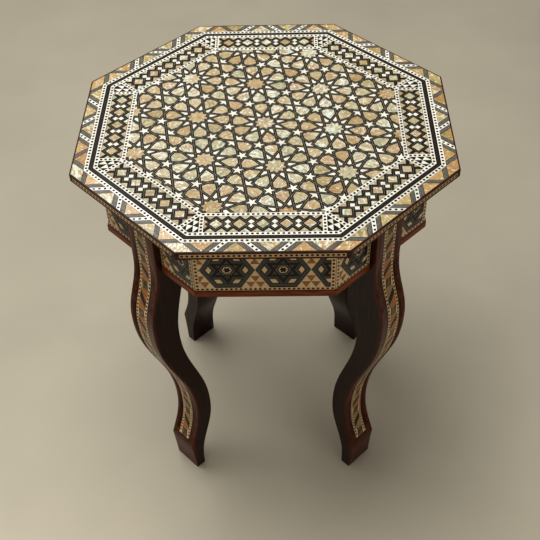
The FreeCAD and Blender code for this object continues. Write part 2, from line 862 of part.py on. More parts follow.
def apron_stretches(diagonal):
    half = apron_face * eighth - inlay * eighth - glue
    leg_side = size("leg_width") / 2 + glue
    if diagonal:
        return [(-half, -leg_side), (leg_side, half)]
    return [(-half, half)]


def make_apron_inlay():
    low = apron_foot
    high = underside - size("apron_top_margin")
    width = size("string_width")
    groups = {}
    for side, angle in enumerate(SIDE_ANGLES):
        for left, right in apron_stretches(side % 2 == 1):
            strings = [flat_face(shape) for shape in apron_frame_strings(left, right, low, high)]
            keep(groups, "apron_strings", stand_up(strings, apron_face, inlay - glue, angle))
            inner = (left + width, right - width, low + width, high - width)
            frame, tiles, centres = hexagon_tiles(*inner)
            all_tiles = [tile for shapes in tiles.values() for tile in shapes]
            star_radius = size("star_point_reach")
            for cx, cy in centres:
                star = star_points(6, star_radius, star_radius / math.sqrt(3), 0)
                star = trim_to_frame(move_points(star, cx, cy), frame)
                if big_enough(star):
                    tiles["apron_stars"].append(star)
            for label, shapes in tiles.items():
                if label == "apron_star_grounds":
                    faces = [star_ground(shape, tiles["apron_stars"]) for shape in shapes]
                else:
                    faces = [flat_face(shape) for shape in shapes]
                keep(groups, label, stand_up(faces, apron_face, inlay - glue, angle))
            straps = strapwork_face(frame, all_tiles)
            keep(groups, "apron_straps", stand_up(straps, apron_face, inlay - glue, angle))
    for label, solids in groups.items():
        store(label, solids)


def star_ground(ground, stars):
    holes = [flat_face(inset(star, -glue)) for star in stars]
    cut = flat_face(ground).cut(holes)
    return max(cut.Faces, key=lambda face: face.Area)


def keep(groups, label, solids):
    groups.setdefault(label, []).extend(solids)


# Apron boards, one per side, and the mouldings under them
SIDE_NAMES = ["front", "front_right", "right", "back_right", "back", "back_left", "left", "front_left"]
SCREW_MIDDLE = "(%s + sizes.apron_height / 2)" % APRON_FOOT


def make_apron_board(name, angle, diagonal):
    label = "apron_board_" + name
    body = new_body(label)
    outline = side_trapezoid(BOARD_FACE, BOARD_BACK)
    sketch = outline_sketch(body, label + "_outline", "XY_Plane", outline, APRON_FOOT)
    pad(body, label + "_pad", sketch, "sizes.apron_height")
    if diagonal:
        radius = "sizes.screw_diameter / 2 + sizes.glue_line"
        low = "(%s - sizes.leg_screw_spacing / 2)" % SCREW_MIDDLE
        high = "(%s + sizes.leg_screw_spacing / 2)" % SCREW_MIDDLE
        circles = [("0", low, radius), ("0", high, radius)]
        holes = circle_sketch(body, label + "_circles", "XZ_Plane", circles, BOARD_BACK)
        pocket(body, label + "_holes", holes, "sizes.apron_thickness", True)
    body.Placement = turned(angle)


def make_mouldings():
    solids = []
    outer = apron_face + size("moulding_proud")
    for side, angle in enumerate(SIDE_ANGLES):
        leg_side = size("leg_width") / 2 + glue
        half_outer = outer * eighth - glue
        half_inner = board_back * eighth - glue
        full = [
            (-half_outer, -outer),
            (half_outer, -outer),
            (half_inner, -board_back),
            (-half_inner, -board_back),
        ]
        if side % 2:
            shapes = [keep_side(full, 1, 0, -leg_side), keep_side(full, -1, 0, -leg_side)]
        else:
            shapes = [full]
        for solid in raised([flat_face(shape) for shape in shapes], moulding_foot, size("moulding_height")):
            solid = softened(solid, size("moulding_proud") / 2, outer)
            solids.extend(rotated_copies([solid], [angle]))
    store("apron_mouldings", solids)


def softened(solid, radius, outer):
    edges = []
    for edge in solid.Edges:
        ends = [vertex.Point for vertex in edge.Vertexes]
        on_face = all(abs(point.y + outer) < glue for point in ends)
        level = abs(ends[0].z - ends[-1].z) < glue
        if on_face and level:
            edges.append(edge)
    return solid.makeFillet(radius, edges)


# Legs: a plank sawn to a swan-neck profile, set out with r outwards and z up, then turned to its place
# Handles of its curves, as shares of the runs that they lie on: outwards first, then downwards
SWAY_SHARE = 0.42
SETTLE_SHARE = 1 / 2
FLARE_SHARES = (2 / 3, 3 / 4)
TOE_HOLLOW_SHARES = (2 / 3, 1 / 2)
HEEL_HEIGHT_SHARE = 1 / 3
BULGE_HEIGHT_SHARE = 8 / 9
SHOULDER_SHARES = (1 / 4, 1 / 3)


def sway(start, end):
    drop = end[1] - start[1]
    handles = [
        start,
        (start[0], start[1] + SWAY_SHARE * drop),
        (end[0], end[1] - SWAY_SHARE * drop),
        end,
    ]
    return bezier(handles)


def bezier(handles):
    curve = Part.BezierCurve()
    curve.setPoles([FreeCAD.Vector(r, 0, z) for r, z in handles])
    return curve.toShape()


def line(first, second):
    start = FreeCAD.Vector(first[0], 0, first[1])
    end = FreeCAD.Vector(second[0], 0, second[1])
    return Part.LineSegment(start, end).toShape()


leg_face = apron_face + size("leg_proud")
leg_back = board_back - size("leg_cheek")
waist = (leg_face, moulding_foot)
knee = (size("knee_reach"), size("knee_height"))
ankle = (size("ankle_reach"), size("ankle_height"))
toe = (size("toe_reach"), size("toe_height"))
sole_front = (size("sole_reach"), 0.0)
sole_back = (size("sole_reach") - size("sole_depth"), 0.0)


def outer_edges(depth):
    top = (leg_face - depth, underside)
    waist_in = (waist[0] - depth, waist[1])
    knee_in = (knee[0] - depth, knee[1])
    ankle_in = (ankle[0] - depth, ankle[1])
    toe_in = (toe[0] - depth, toe[1])
    settle = (ankle_in[0], between(ankle_in, toe_in, SETTLE_SHARE)[1])
    flare = partway(ankle_in, toe_in, FLARE_SHARES)
    toe_curve = bezier([ankle_in, settle, flare, toe_in])
    return [line(top, waist_in), sway(waist_in, knee_in), sway(knee_in, ankle_in), toe_curve]


def partway(first, second, shares):
    return (between(first, second, shares[0])[0], between(first, second, shares[1])[1])


def leg_blank():
    back_ankle = (ankle[0] - size("ankle_depth"), ankle[1])
    back_bulge = (size("leg_inner_bulge"), between(ankle, knee, BULGE_HEIGHT_SHARE)[1])
    shoulder = (leg_back, moulding_foot)
    under_shoulder = partway(shoulder, back_bulge, SHOULDER_SHARES)
    over_bulge = (back_bulge[0], between(back_bulge, shoulder, SHOULDER_SHARES[1])[1])
    hollow = partway(toe, sole_front, TOE_HOLLOW_SHARES)
    heel = (sole_back[0], toe[1] * HEEL_HEIGHT_SHARE)
    edges = outer_edges(0.0)
    edges.append(bezier([toe, hollow, sole_front]))
    edges.append(line(sole_front, sole_back))
    edges.append(line(sole_back, heel))
    edges.append(sway(heel, back_ankle))
    edges.append(sway(back_ankle, back_bulge))
    edges.append(bezier([back_bulge, over_bulge, under_shoulder, shoulder]))
    edges.append(line(shoulder, (leg_back, underside)))
    edges.append(line((leg_back, underside), (leg_face, underside)))
    return thick_plank(edges, size("leg_width"))


def thick_plank(edges, width):
    wire = Part.Wire(Part.__sortEdges__(edges))
    face = Part.Face(wire)
    face.translate(FreeCAD.Vector(0, -width / 2, 0))
    return face.extrude(FreeCAD.Vector(0, width, 0))


# The strip of inlay follows the outer face of the leg, one inlay thickness deep
def strip_skin(depth, width):
    shell = outer_edges(0.0)
    back = outer_edges(depth)
    edges = shell + back
    edges.append(line((leg_face, underside), (leg_face - depth, underside)))
    edges.append(line(toe, (toe[0] - depth, toe[1])))
    return thick_plank(edges, width)


# Outlines on the leg face: x across the leg, y up. Each is cut through the skin along r.
def through_leg(points):
    corners = [FreeCAD.Vector(0, x, y) for x, y in points]
    face = Part.Face(Part.makePolygon(corners + corners[:1]))
    return face.extrude(FreeCAD.Vector(2 * knee[0], 0, 0))


leg_modules = int(size("leg_modules"))
strip_foot = underside - leg_modules * size("leg_module")


def strip_pieces():
    half = size("leg_strip_width") / 2
    core = half - size("leg_string_width")
    strings = [
        rectangle(-half, -core - glue, strip_foot, underside),
        rectangle(core + glue, half, strip_foot, underside),
    ]
    groups = {"leg_strings": strings, "leg_tiles": [], "leg_straps": [], "leg_blocks": []}
    module = size("leg_module")
    strap = size("leg_strap_width")
    rise = module - size("leg_block_length")
    fall = size("leg_strap_rise") / (2 * core)
    slope = math.hypot(1, fall)
    nx, ny = -fall / slope, 1 / slope
    for k in range(leg_modules):
        head = underside - k * module
        run = rectangle(-core, core, head - rise + glue, head - glue)
        middle = ny * (head - rise / 2)
        upper = keep_side(run, -nx, -ny, -middle - strap / 2 - glue)
        lower = keep_side(run, nx, ny, middle - strap / 2 - glue)
        band = keep_side(keep_side(run, nx, ny, middle + strap / 2), -nx, -ny, -middle + strap / 2)
        stripe = rectangle(-core, core, head - module + glue, head - rise - glue)
        groups["leg_tiles"].extend([upper, lower])
        groups["leg_straps"].append(band)
        groups["leg_blocks"].append(stripe)
    return groups


def leg_cuts():
    slot = Part.makeBox(
        size("apron_thickness") + 2 * size("fit_clearance"),
        size("leg_width") + 2 * size("fit_clearance"),
        size("apron_height") + size("fit_clearance"),
        FreeCAD.Vector(
            board_back - size("fit_clearance"),
            -size("leg_width") / 2 - size("fit_clearance"),
            apron_foot - glue,
        ),
    )
    half = size("leg_strip_width") / 2 + glue
    groove_outline = rectangle(-half, half, strip_foot - glue, underside)
    groove = strip_skin(inlay, size("leg_width")).common(through_leg(groove_outline))
    cuts = [slot, groove]
    for height in leg_screw_heights():
        cuts.append(screw_solid(size("leg_screw_length"), glue, leg_back, height))
    return cuts


def leg_screw_heights():
    middle = apron_foot + size("apron_height") / 2
    return [middle - size("leg_screw_spacing") / 2, middle + size("leg_screw_spacing") / 2]


# A countersunk screw with its head at r, driven outwards along r
def screw_solid(length, growth, start, height):
    shank = size("screw_diameter") / 2 + growth
    head = size("screw_head") / 2 + growth
    cone_depth = size("screw_head_depth")
    outline = [
        (0, 0), (0, head), (cone_depth, shank), (length - shank, shank), (length + growth, shank / 4),
        (length + growth, 0),
    ]
    corners = [FreeCAD.Vector(x, 0, y) for x, y in outline]
    face = Part.Face(Part.makePolygon(corners + corners[:1]))
    solid = face.revolve(ORIGIN, FreeCAD.Vector(1, 0, 0), 360)
    solid.translate(FreeCAD.Vector(start, 0, height))
    return solid


def make_legs():
    leg = leg_blank().cut(leg_cuts())
    skin = strip_skin(inlay - glue, size("leg_width"))
    for label, angle in LEG_ANGLES.items():
        store(label, rotated_copies(leg.Solids, [angle]))
    right_angles = [angle for label, angle in LEG_ANGLES.items() if label.endswith("right")]
    left_angles = [angle for label, angle in LEG_ANGLES.items() if label.endswith("left")]
    for label, shapes in strip_pieces().items():
        solids = []
        for shape in shapes:
            solids.extend(skin.common(through_leg(shape)).Solids)
        mirrored = [solid.mirror(ORIGIN, FreeCAD.Vector(0, 1, 0)) for solid in solids]
        store(label, rotated_copies(solids, right_angles) + rotated_copies(mirrored, left_angles))
    screws = [screw_solid(size("leg_screw_length"), 0.0, leg_back, height) for height in leg_screw_heights()]
    store("leg_screws", rotated_copies(screws, LEG_ANGLES.values()))


# Corner blocks, glued in the angles of the apron under the top
def make_corner_blocks():
    body = new_body("corner_blocks")
    corner = "(%s / cos(22.5 deg))" % BOARD_BACK
    leg = "sizes.corner_block_leg"
    near = "(%s - %s * cos(67.5 deg))" % (corner, leg)
    across = "(%s * sin(67.5 deg))" % leg
    points = [(corner, "0"), (near, across), ("(%s - %s / 2)" % (near, leg), "0"), (near, "-%s" % across)]
    foot = "%s - sizes.corner_block_height" % UNDERSIDE
    sketch = outline_sketch(body, "corner_block_outline", "XY_Plane", points, foot)
    block = pad(body, "corner_block", sketch, "sizes.corner_block_height")
    around(body, "corner_block_ring", [block], 8)
    body.Placement = turned(22.5)


# Battens along four of the boards, with clearance holes and countersinks for the screws
def batten_reach():
    return "(%s - sizes.batten_side / 2)" % BOARD_BACK


def make_battens():
    body = new_body("top_battens")
    half = "(sizes.batten_length / 2)"
    inner = "(%s - sizes.batten_side)" % BOARD_BACK
    points = [("-%s" % half, "-%s" % BOARD_BACK), (half, "-%s" % BOARD_BACK)]
    points += [(half, "-%s" % inner), ("-%s" % half, "-%s" % inner)]
    foot = "(%s - sizes.batten_side)" % UNDERSIDE
    sketch = outline_sketch(body, "batten_outline", "XY_Plane", points, foot)
    batten = pad(body, "batten", sketch, "sizes.batten_side")
    features = [batten]
    for name, sign in (("left", "-"), ("right", "")):
        place = sign + "sizes.screw_spacing / 2"
        label = "batten_hole_" + name
        features.append(turned_feature(body, label, "PartDesign::Groove", place, "sizes.glue_line"))
    around(body, "batten_ring", features, 4)


def turned_feature(body, name, kind, place, growth):
    shank = "(sizes.screw_diameter / 2 + %s)" % growth
    head = "(sizes.screw_head / 2 + %s)" % growth
    foot = "(%s - sizes.batten_side)" % UNDERSIDE
    tip = "(%s + sizes.batten_screw_length + %s)" % (foot, growth)
    points = [
        ("0", foot),
        (head, foot),
        (shank, "(%s + sizes.screw_head_depth)" % foot),
        (shank, "(%s - sizes.screw_diameter / 2)" % tip),
        ("(%s / 4)" % shank, tip),
        ("0", tip),
    ]
    sketch = outline_sketch(body, name + "_profile", "XZ_Plane", points, batten_reach(), place)
    feature = body.newObject(kind, name)
    feature.Profile = sketch
    feature.ReferenceAxis = (sketch, ["V_Axis"])
    feature.Angle = 360.0
    return feature


def make_batten_screws():
    body = new_body("batten_screws")
    features = []
    for name, sign in (("left", "-"), ("right", "")):
        place = sign + "sizes.screw_spacing / 2"
        label = "batten_screw_" + name
        features.append(turned_feature(body, label, "PartDesign::Revolution", place, "0 * sizes.glue_line"))
    around(body, "batten_screw_ring", features, 4)


make_top_board()
make_edge()
mitred_ring("outer_string", ZIGZAG_IN, BAND_OUT, BOARD_TOP, "sizes.inlay_thickness")
mitred_ring("black_band", BAND_OUT, BAND_IN, BOARD_TOP, "sizes.inlay_thickness")
mitred_ring("middle_string", BAND_IN, RHOMBUS_OUT, BOARD_TOP, "sizes.inlay_thickness")
mitred_ring("inner_string", RHOMBUS_IN, FIELD_EDGE, BOARD_TOP, "sizes.inlay_thickness")
make_star_field()
make_rhombus_band()
make_corners()
make_zigzag_band()
for side_number, side_name in enumerate(SIDE_NAMES):
    make_apron_board(side_name, SIDE_ANGLES[side_number], side_number % 2 == 1)
make_mouldings()
make_apron_inlay()
make_legs()
make_corner_blocks()
make_battens()
make_batten_screws()
doc.recompute()

# Every object is sound before anything is written
for item in doc.Objects:
    if "Invalid" in item.State or "Error" in item.State:
        raise RuntimeError("failed: " + item.Label + " " + str(item.State))
nodes = [item for item in doc.Objects if item.TypeId in ("PartDesign::Body", "Part::Feature")]
for node in nodes:
    shape = node.Shape
    if shape.isNull() or not shape.isValid() or not shape.Solids:
        raise RuntimeError("bad shape: " + node.Label)
for node in nodes:
    print("%-26s %4d solids  %10.1f mm3" % (node.Label, len(node.Shape.Solids), node.Shape.Volume))
    node.Shape.exportStep("parts/" + node.Label + ".step")
print(len(nodes), "nodes")
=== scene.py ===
# %% [markdown]
# # An octagonal stool with an inlaid top
#
# The real stool is dark varnished wood. Its top and apron are covered by a thin sheet of marquetry: tiles of
# mother-of-pearl and bone set between black straps, framed by dotted strings. The solids of every tile
# already exist. This lesson copies them, adds the lines and dots that are too fine for the solids, and
# gives each wood, bone and shell its own finish.

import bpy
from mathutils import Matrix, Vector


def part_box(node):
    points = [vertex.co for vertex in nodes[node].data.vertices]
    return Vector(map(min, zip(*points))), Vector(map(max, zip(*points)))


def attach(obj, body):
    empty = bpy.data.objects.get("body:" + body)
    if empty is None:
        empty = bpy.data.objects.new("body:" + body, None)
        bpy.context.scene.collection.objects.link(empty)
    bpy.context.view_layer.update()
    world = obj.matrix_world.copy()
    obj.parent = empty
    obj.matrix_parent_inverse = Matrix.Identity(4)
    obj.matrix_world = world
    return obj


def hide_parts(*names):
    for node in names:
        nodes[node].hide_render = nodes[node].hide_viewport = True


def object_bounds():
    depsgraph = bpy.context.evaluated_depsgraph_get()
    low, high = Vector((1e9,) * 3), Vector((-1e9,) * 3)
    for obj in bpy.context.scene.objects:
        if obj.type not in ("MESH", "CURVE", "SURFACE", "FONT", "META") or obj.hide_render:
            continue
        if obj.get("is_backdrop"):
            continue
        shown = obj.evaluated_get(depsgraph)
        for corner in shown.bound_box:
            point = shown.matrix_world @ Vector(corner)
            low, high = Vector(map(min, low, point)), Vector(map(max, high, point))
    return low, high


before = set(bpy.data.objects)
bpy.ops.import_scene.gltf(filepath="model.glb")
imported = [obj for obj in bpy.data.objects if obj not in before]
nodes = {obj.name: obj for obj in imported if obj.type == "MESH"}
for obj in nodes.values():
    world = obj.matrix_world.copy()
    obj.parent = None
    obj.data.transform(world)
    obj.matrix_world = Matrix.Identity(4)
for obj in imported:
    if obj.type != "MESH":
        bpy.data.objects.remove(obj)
cad_low, cad_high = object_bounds()
print("frame:", len(nodes), "nodes, top at", round(cad_high.z, 4), "m")

# %% [markdown]
# Blender works in metres, but a maker thinks of inlay in millimetres. One named value turns one into the
# other, so that every size below reads as it would on a drawing.

# %% Units and modules
import math
import random

import bmesh
import bpy
from mathutils import Euler, Matrix, Vector

MM = 0.001
EIGHTH = math.radians(45)
UP = Vector((0, 0, 1))
top_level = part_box("ten_point_stars")[1].z

# %% [markdown]
# ## Camera
# The picture was taken from in front of the stool and well above it, with a lens a little longer than
# normal. The place and the turn come from fitting the octagon's rings, so they are odd numbers. The focal
# length is kept in pixels of a square picture, and the lens in millimetres follows from it.

# %% Camera
SENSOR = 36.0
PICTURE_SIDE = 540
FOCAL_PIXELS = 929.6
CAMERA_PLACE = (22.2, -727.9, 961.4)
CAMERA_TURN = (44.449, 1.283, 0.410)


def show(thing):
    bpy.context.scene.collection.objects.link(thing)
    return thing


camera = bpy.data.objects.new("camera", bpy.data.cameras.new("camera"))
camera.data.sensor_width = SENSOR
camera.data.lens = SENSOR * FOCAL_PIXELS / PICTURE_SIDE
camera.location = Vector(CAMERA_PLACE) * MM
camera.rotation_euler = Euler([math.radians(angle) for angle in CAMERA_TURN])
bpy.context.scene.camera = show(camera)
print("lens:", round(camera.data.lens, 2), "mm")

# %% [markdown]
# ## Studio
# A pale floor, one large soft lamp above and a little behind, and a weak one in front on the right. The top
# of the stool gets far more light than the apron under it, and the left legs stay the darkest.

# %% Studio
KEY_PLACE = (-0.4, 0.3, 1.8)
KEY_SIDE = 1.5
KEY_POWER = 35.0
FILL_PLACE = (1.2, -1.3, 1.1)
FILL_SIDE = 1.2
FILL_POWER = 3.0


def soft_lamp(name, place, side, power):
    lamp = bpy.data.lights.new(name, "AREA")
    lamp.shape = "SQUARE"
    lamp.size = side
    lamp.energy = power
    piece = bpy.data.objects.new(name, lamp)
    piece.location = place
    aim = Vector((0, 0, top_level / 2)) - piece.location
    piece.rotation_euler = aim.to_track_quat("-Z", "Y").to_euler()
    show(piece)


soft_lamp("key_lamp", KEY_PLACE, KEY_SIDE, KEY_POWER)
soft_lamp("fill_lamp", FILL_PLACE, FILL_SIDE, FILL_POWER)
print("lamps:", KEY_POWER, "W above and", FILL_POWER, "W in front")

bpy.context.scene.view_settings.view_transform = "Standard"

# %% [markdown]
# ## Helpers for materials
# Every finish is a small tree of nodes. `add` makes a node and links or sets its sockets, so that each
# material below is a few lines: where the pattern is read from, the noise, and the colours.

# %% Node helpers
VARNISH_ROUGHNESS = 0.06
VARNISH_SPECULAR = 0.4
FULL_COAT = 0.6


def rgb(red, green, blue):
    values = []
    for value in (red, green, blue):
        share = value / 255
        values.append(share / 12.92 if share <= 0.04045 else ((share + 0.055) / 1.055) ** 2.4)
    return (*values, 1.0)


def grey(value):
    return (value, value, value, 1.0)


def feed(tree, value, socket):
    if isinstance(value, bpy.types.NodeSocket):
        tree.links.new(value, socket)
    else:
        socket.default_value = value


def add(tree, kind, sockets=None, **settings):
    made = tree.nodes.new("ShaderNode" + kind)
    for name, value in settings.items():
        setattr(made, name, value)
    for name, value in (sockets or {}).items():
        feed(tree, value, made.inputs[name])
    return made


def new_material(name, roughness=0.5):
    material = bpy.data.materials.new(name)
    material.use_nodes = True
    tree = material.node_tree
    shader = tree.nodes["Principled BSDF"]
    shader.inputs["Roughness"].default_value = roughness
    return material, tree, shader


def varnished(name, roughness=0.35, coat=FULL_COAT, specular=VARNISH_SPECULAR):
    material, tree, shader = new_material(name, roughness)
    shader.inputs["Specular IOR Level"].default_value = specular
    shader.inputs["Coat Weight"].default_value = coat
    shader.inputs["Coat Roughness"].default_value = VARNISH_ROUGHNESS
    return material, tree, shader


def attribute(tree, name):
    return add(tree, "Attribute", attribute_name=name).outputs["Vector"]


def object_millimetres(tree):
    place = add(tree, "TexCoord").outputs["Object"]
    return add(tree, "VectorMath", {0: place, "Scale": 1 / MM}, operation="SCALE").outputs["Vector"]


def paint(tree, shader, colour, roughness=None):
    tree.links.new(colour, shader.inputs["Base Color"])
    if roughness is not None:
        tree.links.new(roughness, shader.inputs["Roughness"])


print("varnish roughness:", VARNISH_ROUGHNESS)

# %% [markdown]
# `noise` is a cloud that can be stretched into fibres. `tones` and `greys` turn its values into colours by
# a ramp, `mix` lays one colour over another, and `chances` reads a tile's random values.

# %% Patterns and sums
def noise(tree, place, scale, detail=4.0, stretch=(1, 1, 1), turn=0.0, roughness=0.55):
    mapping = add(tree, "Mapping", {"Vector": place, "Scale": stretch, "Rotation": (0, 0, turn)})
    look = {"Vector": mapping.outputs["Vector"], "Scale": scale, "Detail": detail, "Roughness": roughness}
    return add(tree, "TexNoise", look).outputs["Fac"]


def ramp(tree, factor, stops):
    made = add(tree, "ValToRGB", {"Fac": factor})
    elements = made.color_ramp.elements
    while len(elements) < len(stops):
        elements.new(0.5)
    for element, (position, colour) in zip(elements, stops):
        element.position = position
        element.color = colour
    return made.outputs["Color"]


def tones(tree, factor, colours, stops=(0.3, 0.5, 0.7)):
    return ramp(tree, factor, [(stop, rgb(*colour)) for stop, colour in zip(stops, colours)])


def greys(tree, factor, *stops):
    return ramp(tree, factor, [(stop, grey(value)) for stop, value in stops])


def mix(tree, factor, first, second, blend="MIX"):
    sockets = {0: factor, 6: first, 7: second}
    return add(tree, "Mix", sockets, data_type="RGBA", blend_type=blend).outputs[2]


def tinted(tree, colour, tint):
    return mix(tree, 1.0, colour, tint, "MULTIPLY")


def sums(tree, operation, first, second):
    return add(tree, "Math", {0: first, 1: second}, operation=operation).outputs[0]


def between(tree, factor, low, high):
    return add(tree, "MapRange", {"Value": factor, "To Min": low, "To Max": high}).outputs["Result"]


def chances(tree):
    return add(tree, "SeparateXYZ", {0: attribute(tree, "chance")}).outputs


# %% [markdown]
# ## Finishes of the tiles
# Each tile carries two attributes that are written on its mesh further down: `grain`, its own turned
# coordinates in millimetres, and `chance`, three random values. A material that reads them gives every
# tile another direction of grain and another tint, although hundreds of tiles share it.

# %% Bone
def make_bone(name, colours, coat=FULL_COAT, specular=VARNISH_SPECULAR):
    material, tree, shader = varnished(name, 0.4, coat, specular)
    grain = attribute(tree, "grain")
    fibres = noise(tree, grain, 0.9, 5, (0.25, 2.4, 1))
    colour = tones(tree, fibres, colours, (0.25, 0.5, 0.75))
    tint = greys(tree, chances(tree)["X"], (0.0, 0.86), (0.5, 0.97), (1.0, 1.0))
    paint(tree, shader, tinted(tree, colour, tint), between(tree, fibres, 0.3, 0.5))
    return material


bone = make_bone("camel_bone", ((220, 210, 184), (238, 231, 213), (246, 242, 230)))
# The second bone is the same camel bone, painted warmer and darker as shade, for the apron under the top and
# the leg blocks.
warm_shaded_bone = make_bone(
    "camel_bone_with_painted_shade", ((204, 166, 116), (226, 190, 140), (238, 206, 160)), coat=0.4, specular=0.2)
print("bone:", bone.name, "and", warm_shaded_bone.name)

# %% [markdown]
# Mother-of-pearl is shell cut across its layers. Most tiles are tan with fine streaks, and some show a
# patch of pale green, white or blue-grey with a sharp border. The patch is partly the layer where the saw
# went through and partly a painted iridescent sheen and glare. It is a slow noise cut off sharply, and each
# tile's chance moves the cut, so that few tiles are pale all over and most are tan all over.

# %% Mother-of-pearl
SHELL_TANS = (
    (154, 158, 128), (188, 180, 146), (206, 188, 150), (180, 152, 108),
    (200, 176, 136), (160, 130, 84), (202, 174, 150))
SHELL_TAN_STOPS = (0.28, 0.38, 0.46, 0.54, 0.60, 0.68, 0.76)
SHELL_PALES = ((124, 152, 138), (190, 200, 174), (240, 240, 232), (208, 214, 200), (232, 214, 196))
SHELL_PALE_STOPS = (0.34, 0.44, 0.52, 0.62, 0.72)
SHELL_TINTS = ((222, 206, 176), (244, 238, 224), (255, 255, 255))


def make_pearl(name, cast):
    material, tree, shader = varnished(name, 0.3)
    grain = attribute(tree, "grain")
    chance = chances(tree)
    streaks = noise(tree, grain, 0.8, 7, (0.2, 1.5, 1), roughness=0.65)
    cloud = noise(tree, grain, 0.17, 3, (1, 1.6, 1))
    shift = between(tree, chance["Z"], -0.16, 0.16)
    body = tones(tree, sums(tree, "ADD", cloud, shift), SHELL_TANS, SHELL_TAN_STOPS)
    shading = greys(tree, streaks, (0.32, 0.62), (0.47, 0.92), (0.6, 1.0))
    layered = tinted(tree, tinted(tree, body, shading), cast)
    # Small white specks are painted glints: highlights of the polished shell painted into its colour.
    painted_glints = greys(tree, noise(tree, grain, 0.42, 2, (0.8, 1.4, 1)), (0.62, 0), (0.65, 0.85))
    tan = mix(tree, painted_glints, layered, rgb(246, 243, 232))
    # The pale patch is partly the shell's own layer and partly painted sheen and glare.
    sheen = noise(tree, grain, 0.34, 3, (0.6, 1.6, 1))
    pale = tones(tree, sheen, SHELL_PALES, SHELL_PALE_STOPS)
    patch = noise(tree, grain, 0.16, 2, (1, 1.8, 1))
    lean = between(tree, chance["X"], -0.16, 0.11)
    edge = sums(tree, "ADD", patch, lean)
    layer_and_sheen_patch = greys(tree, edge, (0.575, 0), (0.605, 0.9))
    tint = tones(tree, chance["Y"], SHELL_TINTS, (0.0, 0.3, 1.0))
    colour = tinted(tree, mix(tree, layer_and_sheen_patch, tan, pale), tint)
    paint(tree, shader, colour, between(tree, streaks, 0.16, 0.5))
    return material


pearl = make_pearl("mother_of_pearl", grey(1.0))
golden_pearl = make_pearl("golden_mother_of_pearl", rgb(255, 234, 190))
print("shell:", pearl.name, "and", golden_pearl.name)

# %% [markdown]
# ## Finishes of the woods
# All the woods are the same idea: noise stretched along the grain, coloured by a ramp, under a hard clear
# varnish. A wood reads the tile's own grain where it has one, or else the place on the object.

# %% Woods
ALONG = (0.06, 1.4, 1.4)
DARK_SPECULAR = 0.08
DARK_COAT = 0.1
OLD_COAT = 0.5


def make_wood(
        name, colours, on_tiles=True, stretch=ALONG, scale=0.8, roughness=0.4, coat=FULL_COAT, turn=0.0):
    specular = DARK_SPECULAR if coat < FULL_COAT else VARNISH_SPECULAR
    material, tree, shader = varnished(name, roughness, coat, specular)
    grain = attribute(tree, "grain") if on_tiles else object_millimetres(tree)
    streaks = noise(tree, grain, scale, 6, stretch, turn, 0.65)
    colour = tones(tree, streaks, colours)
    if on_tiles:
        tint = greys(tree, chances(tree)["X"], (0.0, 0.8), (1.0, 1.0))
        colour = tinted(tree, colour, tint)
    paint(tree, shader, colour, between(tree, streaks, roughness + 0.1, roughness - 0.1))
    return material


black_wood = make_wood("black_strap_wood", ((7, 6, 5), (13, 12, 10), (23, 21, 18)), coat=DARK_COAT)
light_line = make_wood("light_line_wood", ((124, 117, 98), (152, 144, 122), (172, 164, 142)))
grey_line = make_wood("grey_line_wood", ((84, 82, 76), (112, 110, 102), (138, 136, 126)))
pale_line = make_wood("pale_line_wood", ((132, 128, 116), (164, 160, 146), (188, 184, 170)))
ivory = make_wood("ivory_string", ((232, 224, 202), (245, 240, 224), (250, 247, 236)))
# The apron's string is the same ivory, painted tan and darker as shade under the top.
apron_ivory_with_painted_shade = make_wood(
    "ivory_string_with_painted_shade", ((200, 164, 116), (224, 190, 142), (238, 208, 164)), coat=OLD_COAT)
# The lipping's string is the same ivory, painted darker and browner as shade on the top's side faces.
lipping_ivory_with_painted_shade = make_wood(
    "ivory_string_with_dark_painted_shade", ((176, 132, 78), (206, 162, 104), (222, 184, 128)), coat=OLD_COAT)
leg_ivory = make_wood(
    "leg_ivory_string", ((212, 172, 118), (236, 198, 144), (246, 216, 168)), coat=OLD_COAT)
brown_line = make_wood(
    "brown_line_wood", ((22, 15, 10), (36, 26, 18), (50, 38, 27)), scale=1.6, coat=DARK_COAT)
# The lipping's red-brown wood is painted much darker, as shade on the top's side faces.
rosewood_with_painted_shade = make_wood("red_lipping_wood_with_painted_shade", ((22, 4, 0), (46, 12, 3), (78, 29, 9)), coat=DARK_COAT)
rosewood = make_wood("red_brown_moulding_wood", ((62, 18, 0), (118, 46, 6), (164, 82, 22)), coat=DARK_COAT)
raw_wood = make_wood(
    "raw_softwood", ((128, 92, 56), (166, 126, 82), (190, 152, 106)), on_tiles=False,
    stretch=(0.02, 0.7, 0.7), roughness=0.65, coat=0.0)
print("woods:", sorted(material.name for material in bpy.data.materials if "wood" in material.name))

# %% [markdown]
# ## Helpers for meshes
# A node of the frame is a heap of loose triangles. A copy is welded and its flat triangles are joined, so
# that a tile's face is one face again. `mark_tiles` walks over each separate tile and writes its grain and
# its chances on the vertices. The seed makes them the same each time, and `dict.fromkeys` keeps the faces
# in a fixed order, which a set wouldn't.

# %% Copies and their tiles
WELD = 0.001 * MM
FLAT_ANGLE = math.radians(0.5)
WANDER = 400.0


def merged(name, whole_faces=True):
    bm = bmesh.new()
    bm.from_mesh(nodes[name].data)
    bmesh.ops.remove_doubles(bm, verts=bm.verts, dist=WELD)
    if whole_faces:
        bmesh.ops.dissolve_limit(bm, angle_limit=FLAT_ANGLE, verts=bm.verts, edges=bm.edges)
    return bm


def tiles_of(bm):
    bm.verts.index_update()
    seen = set()
    for start in bm.verts:
        if start.index in seen:
            continue
        seen.add(start.index)
        tile = [start]
        for vert in tile:
            for edge in vert.link_edges:
                other = edge.other_vert(vert)
                if other.index not in seen:
                    seen.add(other.index)
                    tile.append(other)
        yield tile


def middle_of(tile):
    return sum((vert.co for vert in tile), Vector()) / len(tile)


def longest_edge(face):
    longest = max(face.edges, key=lambda edge: edge.calc_length())
    return (longest.verts[1].co - longest.verts[0].co).normalized()


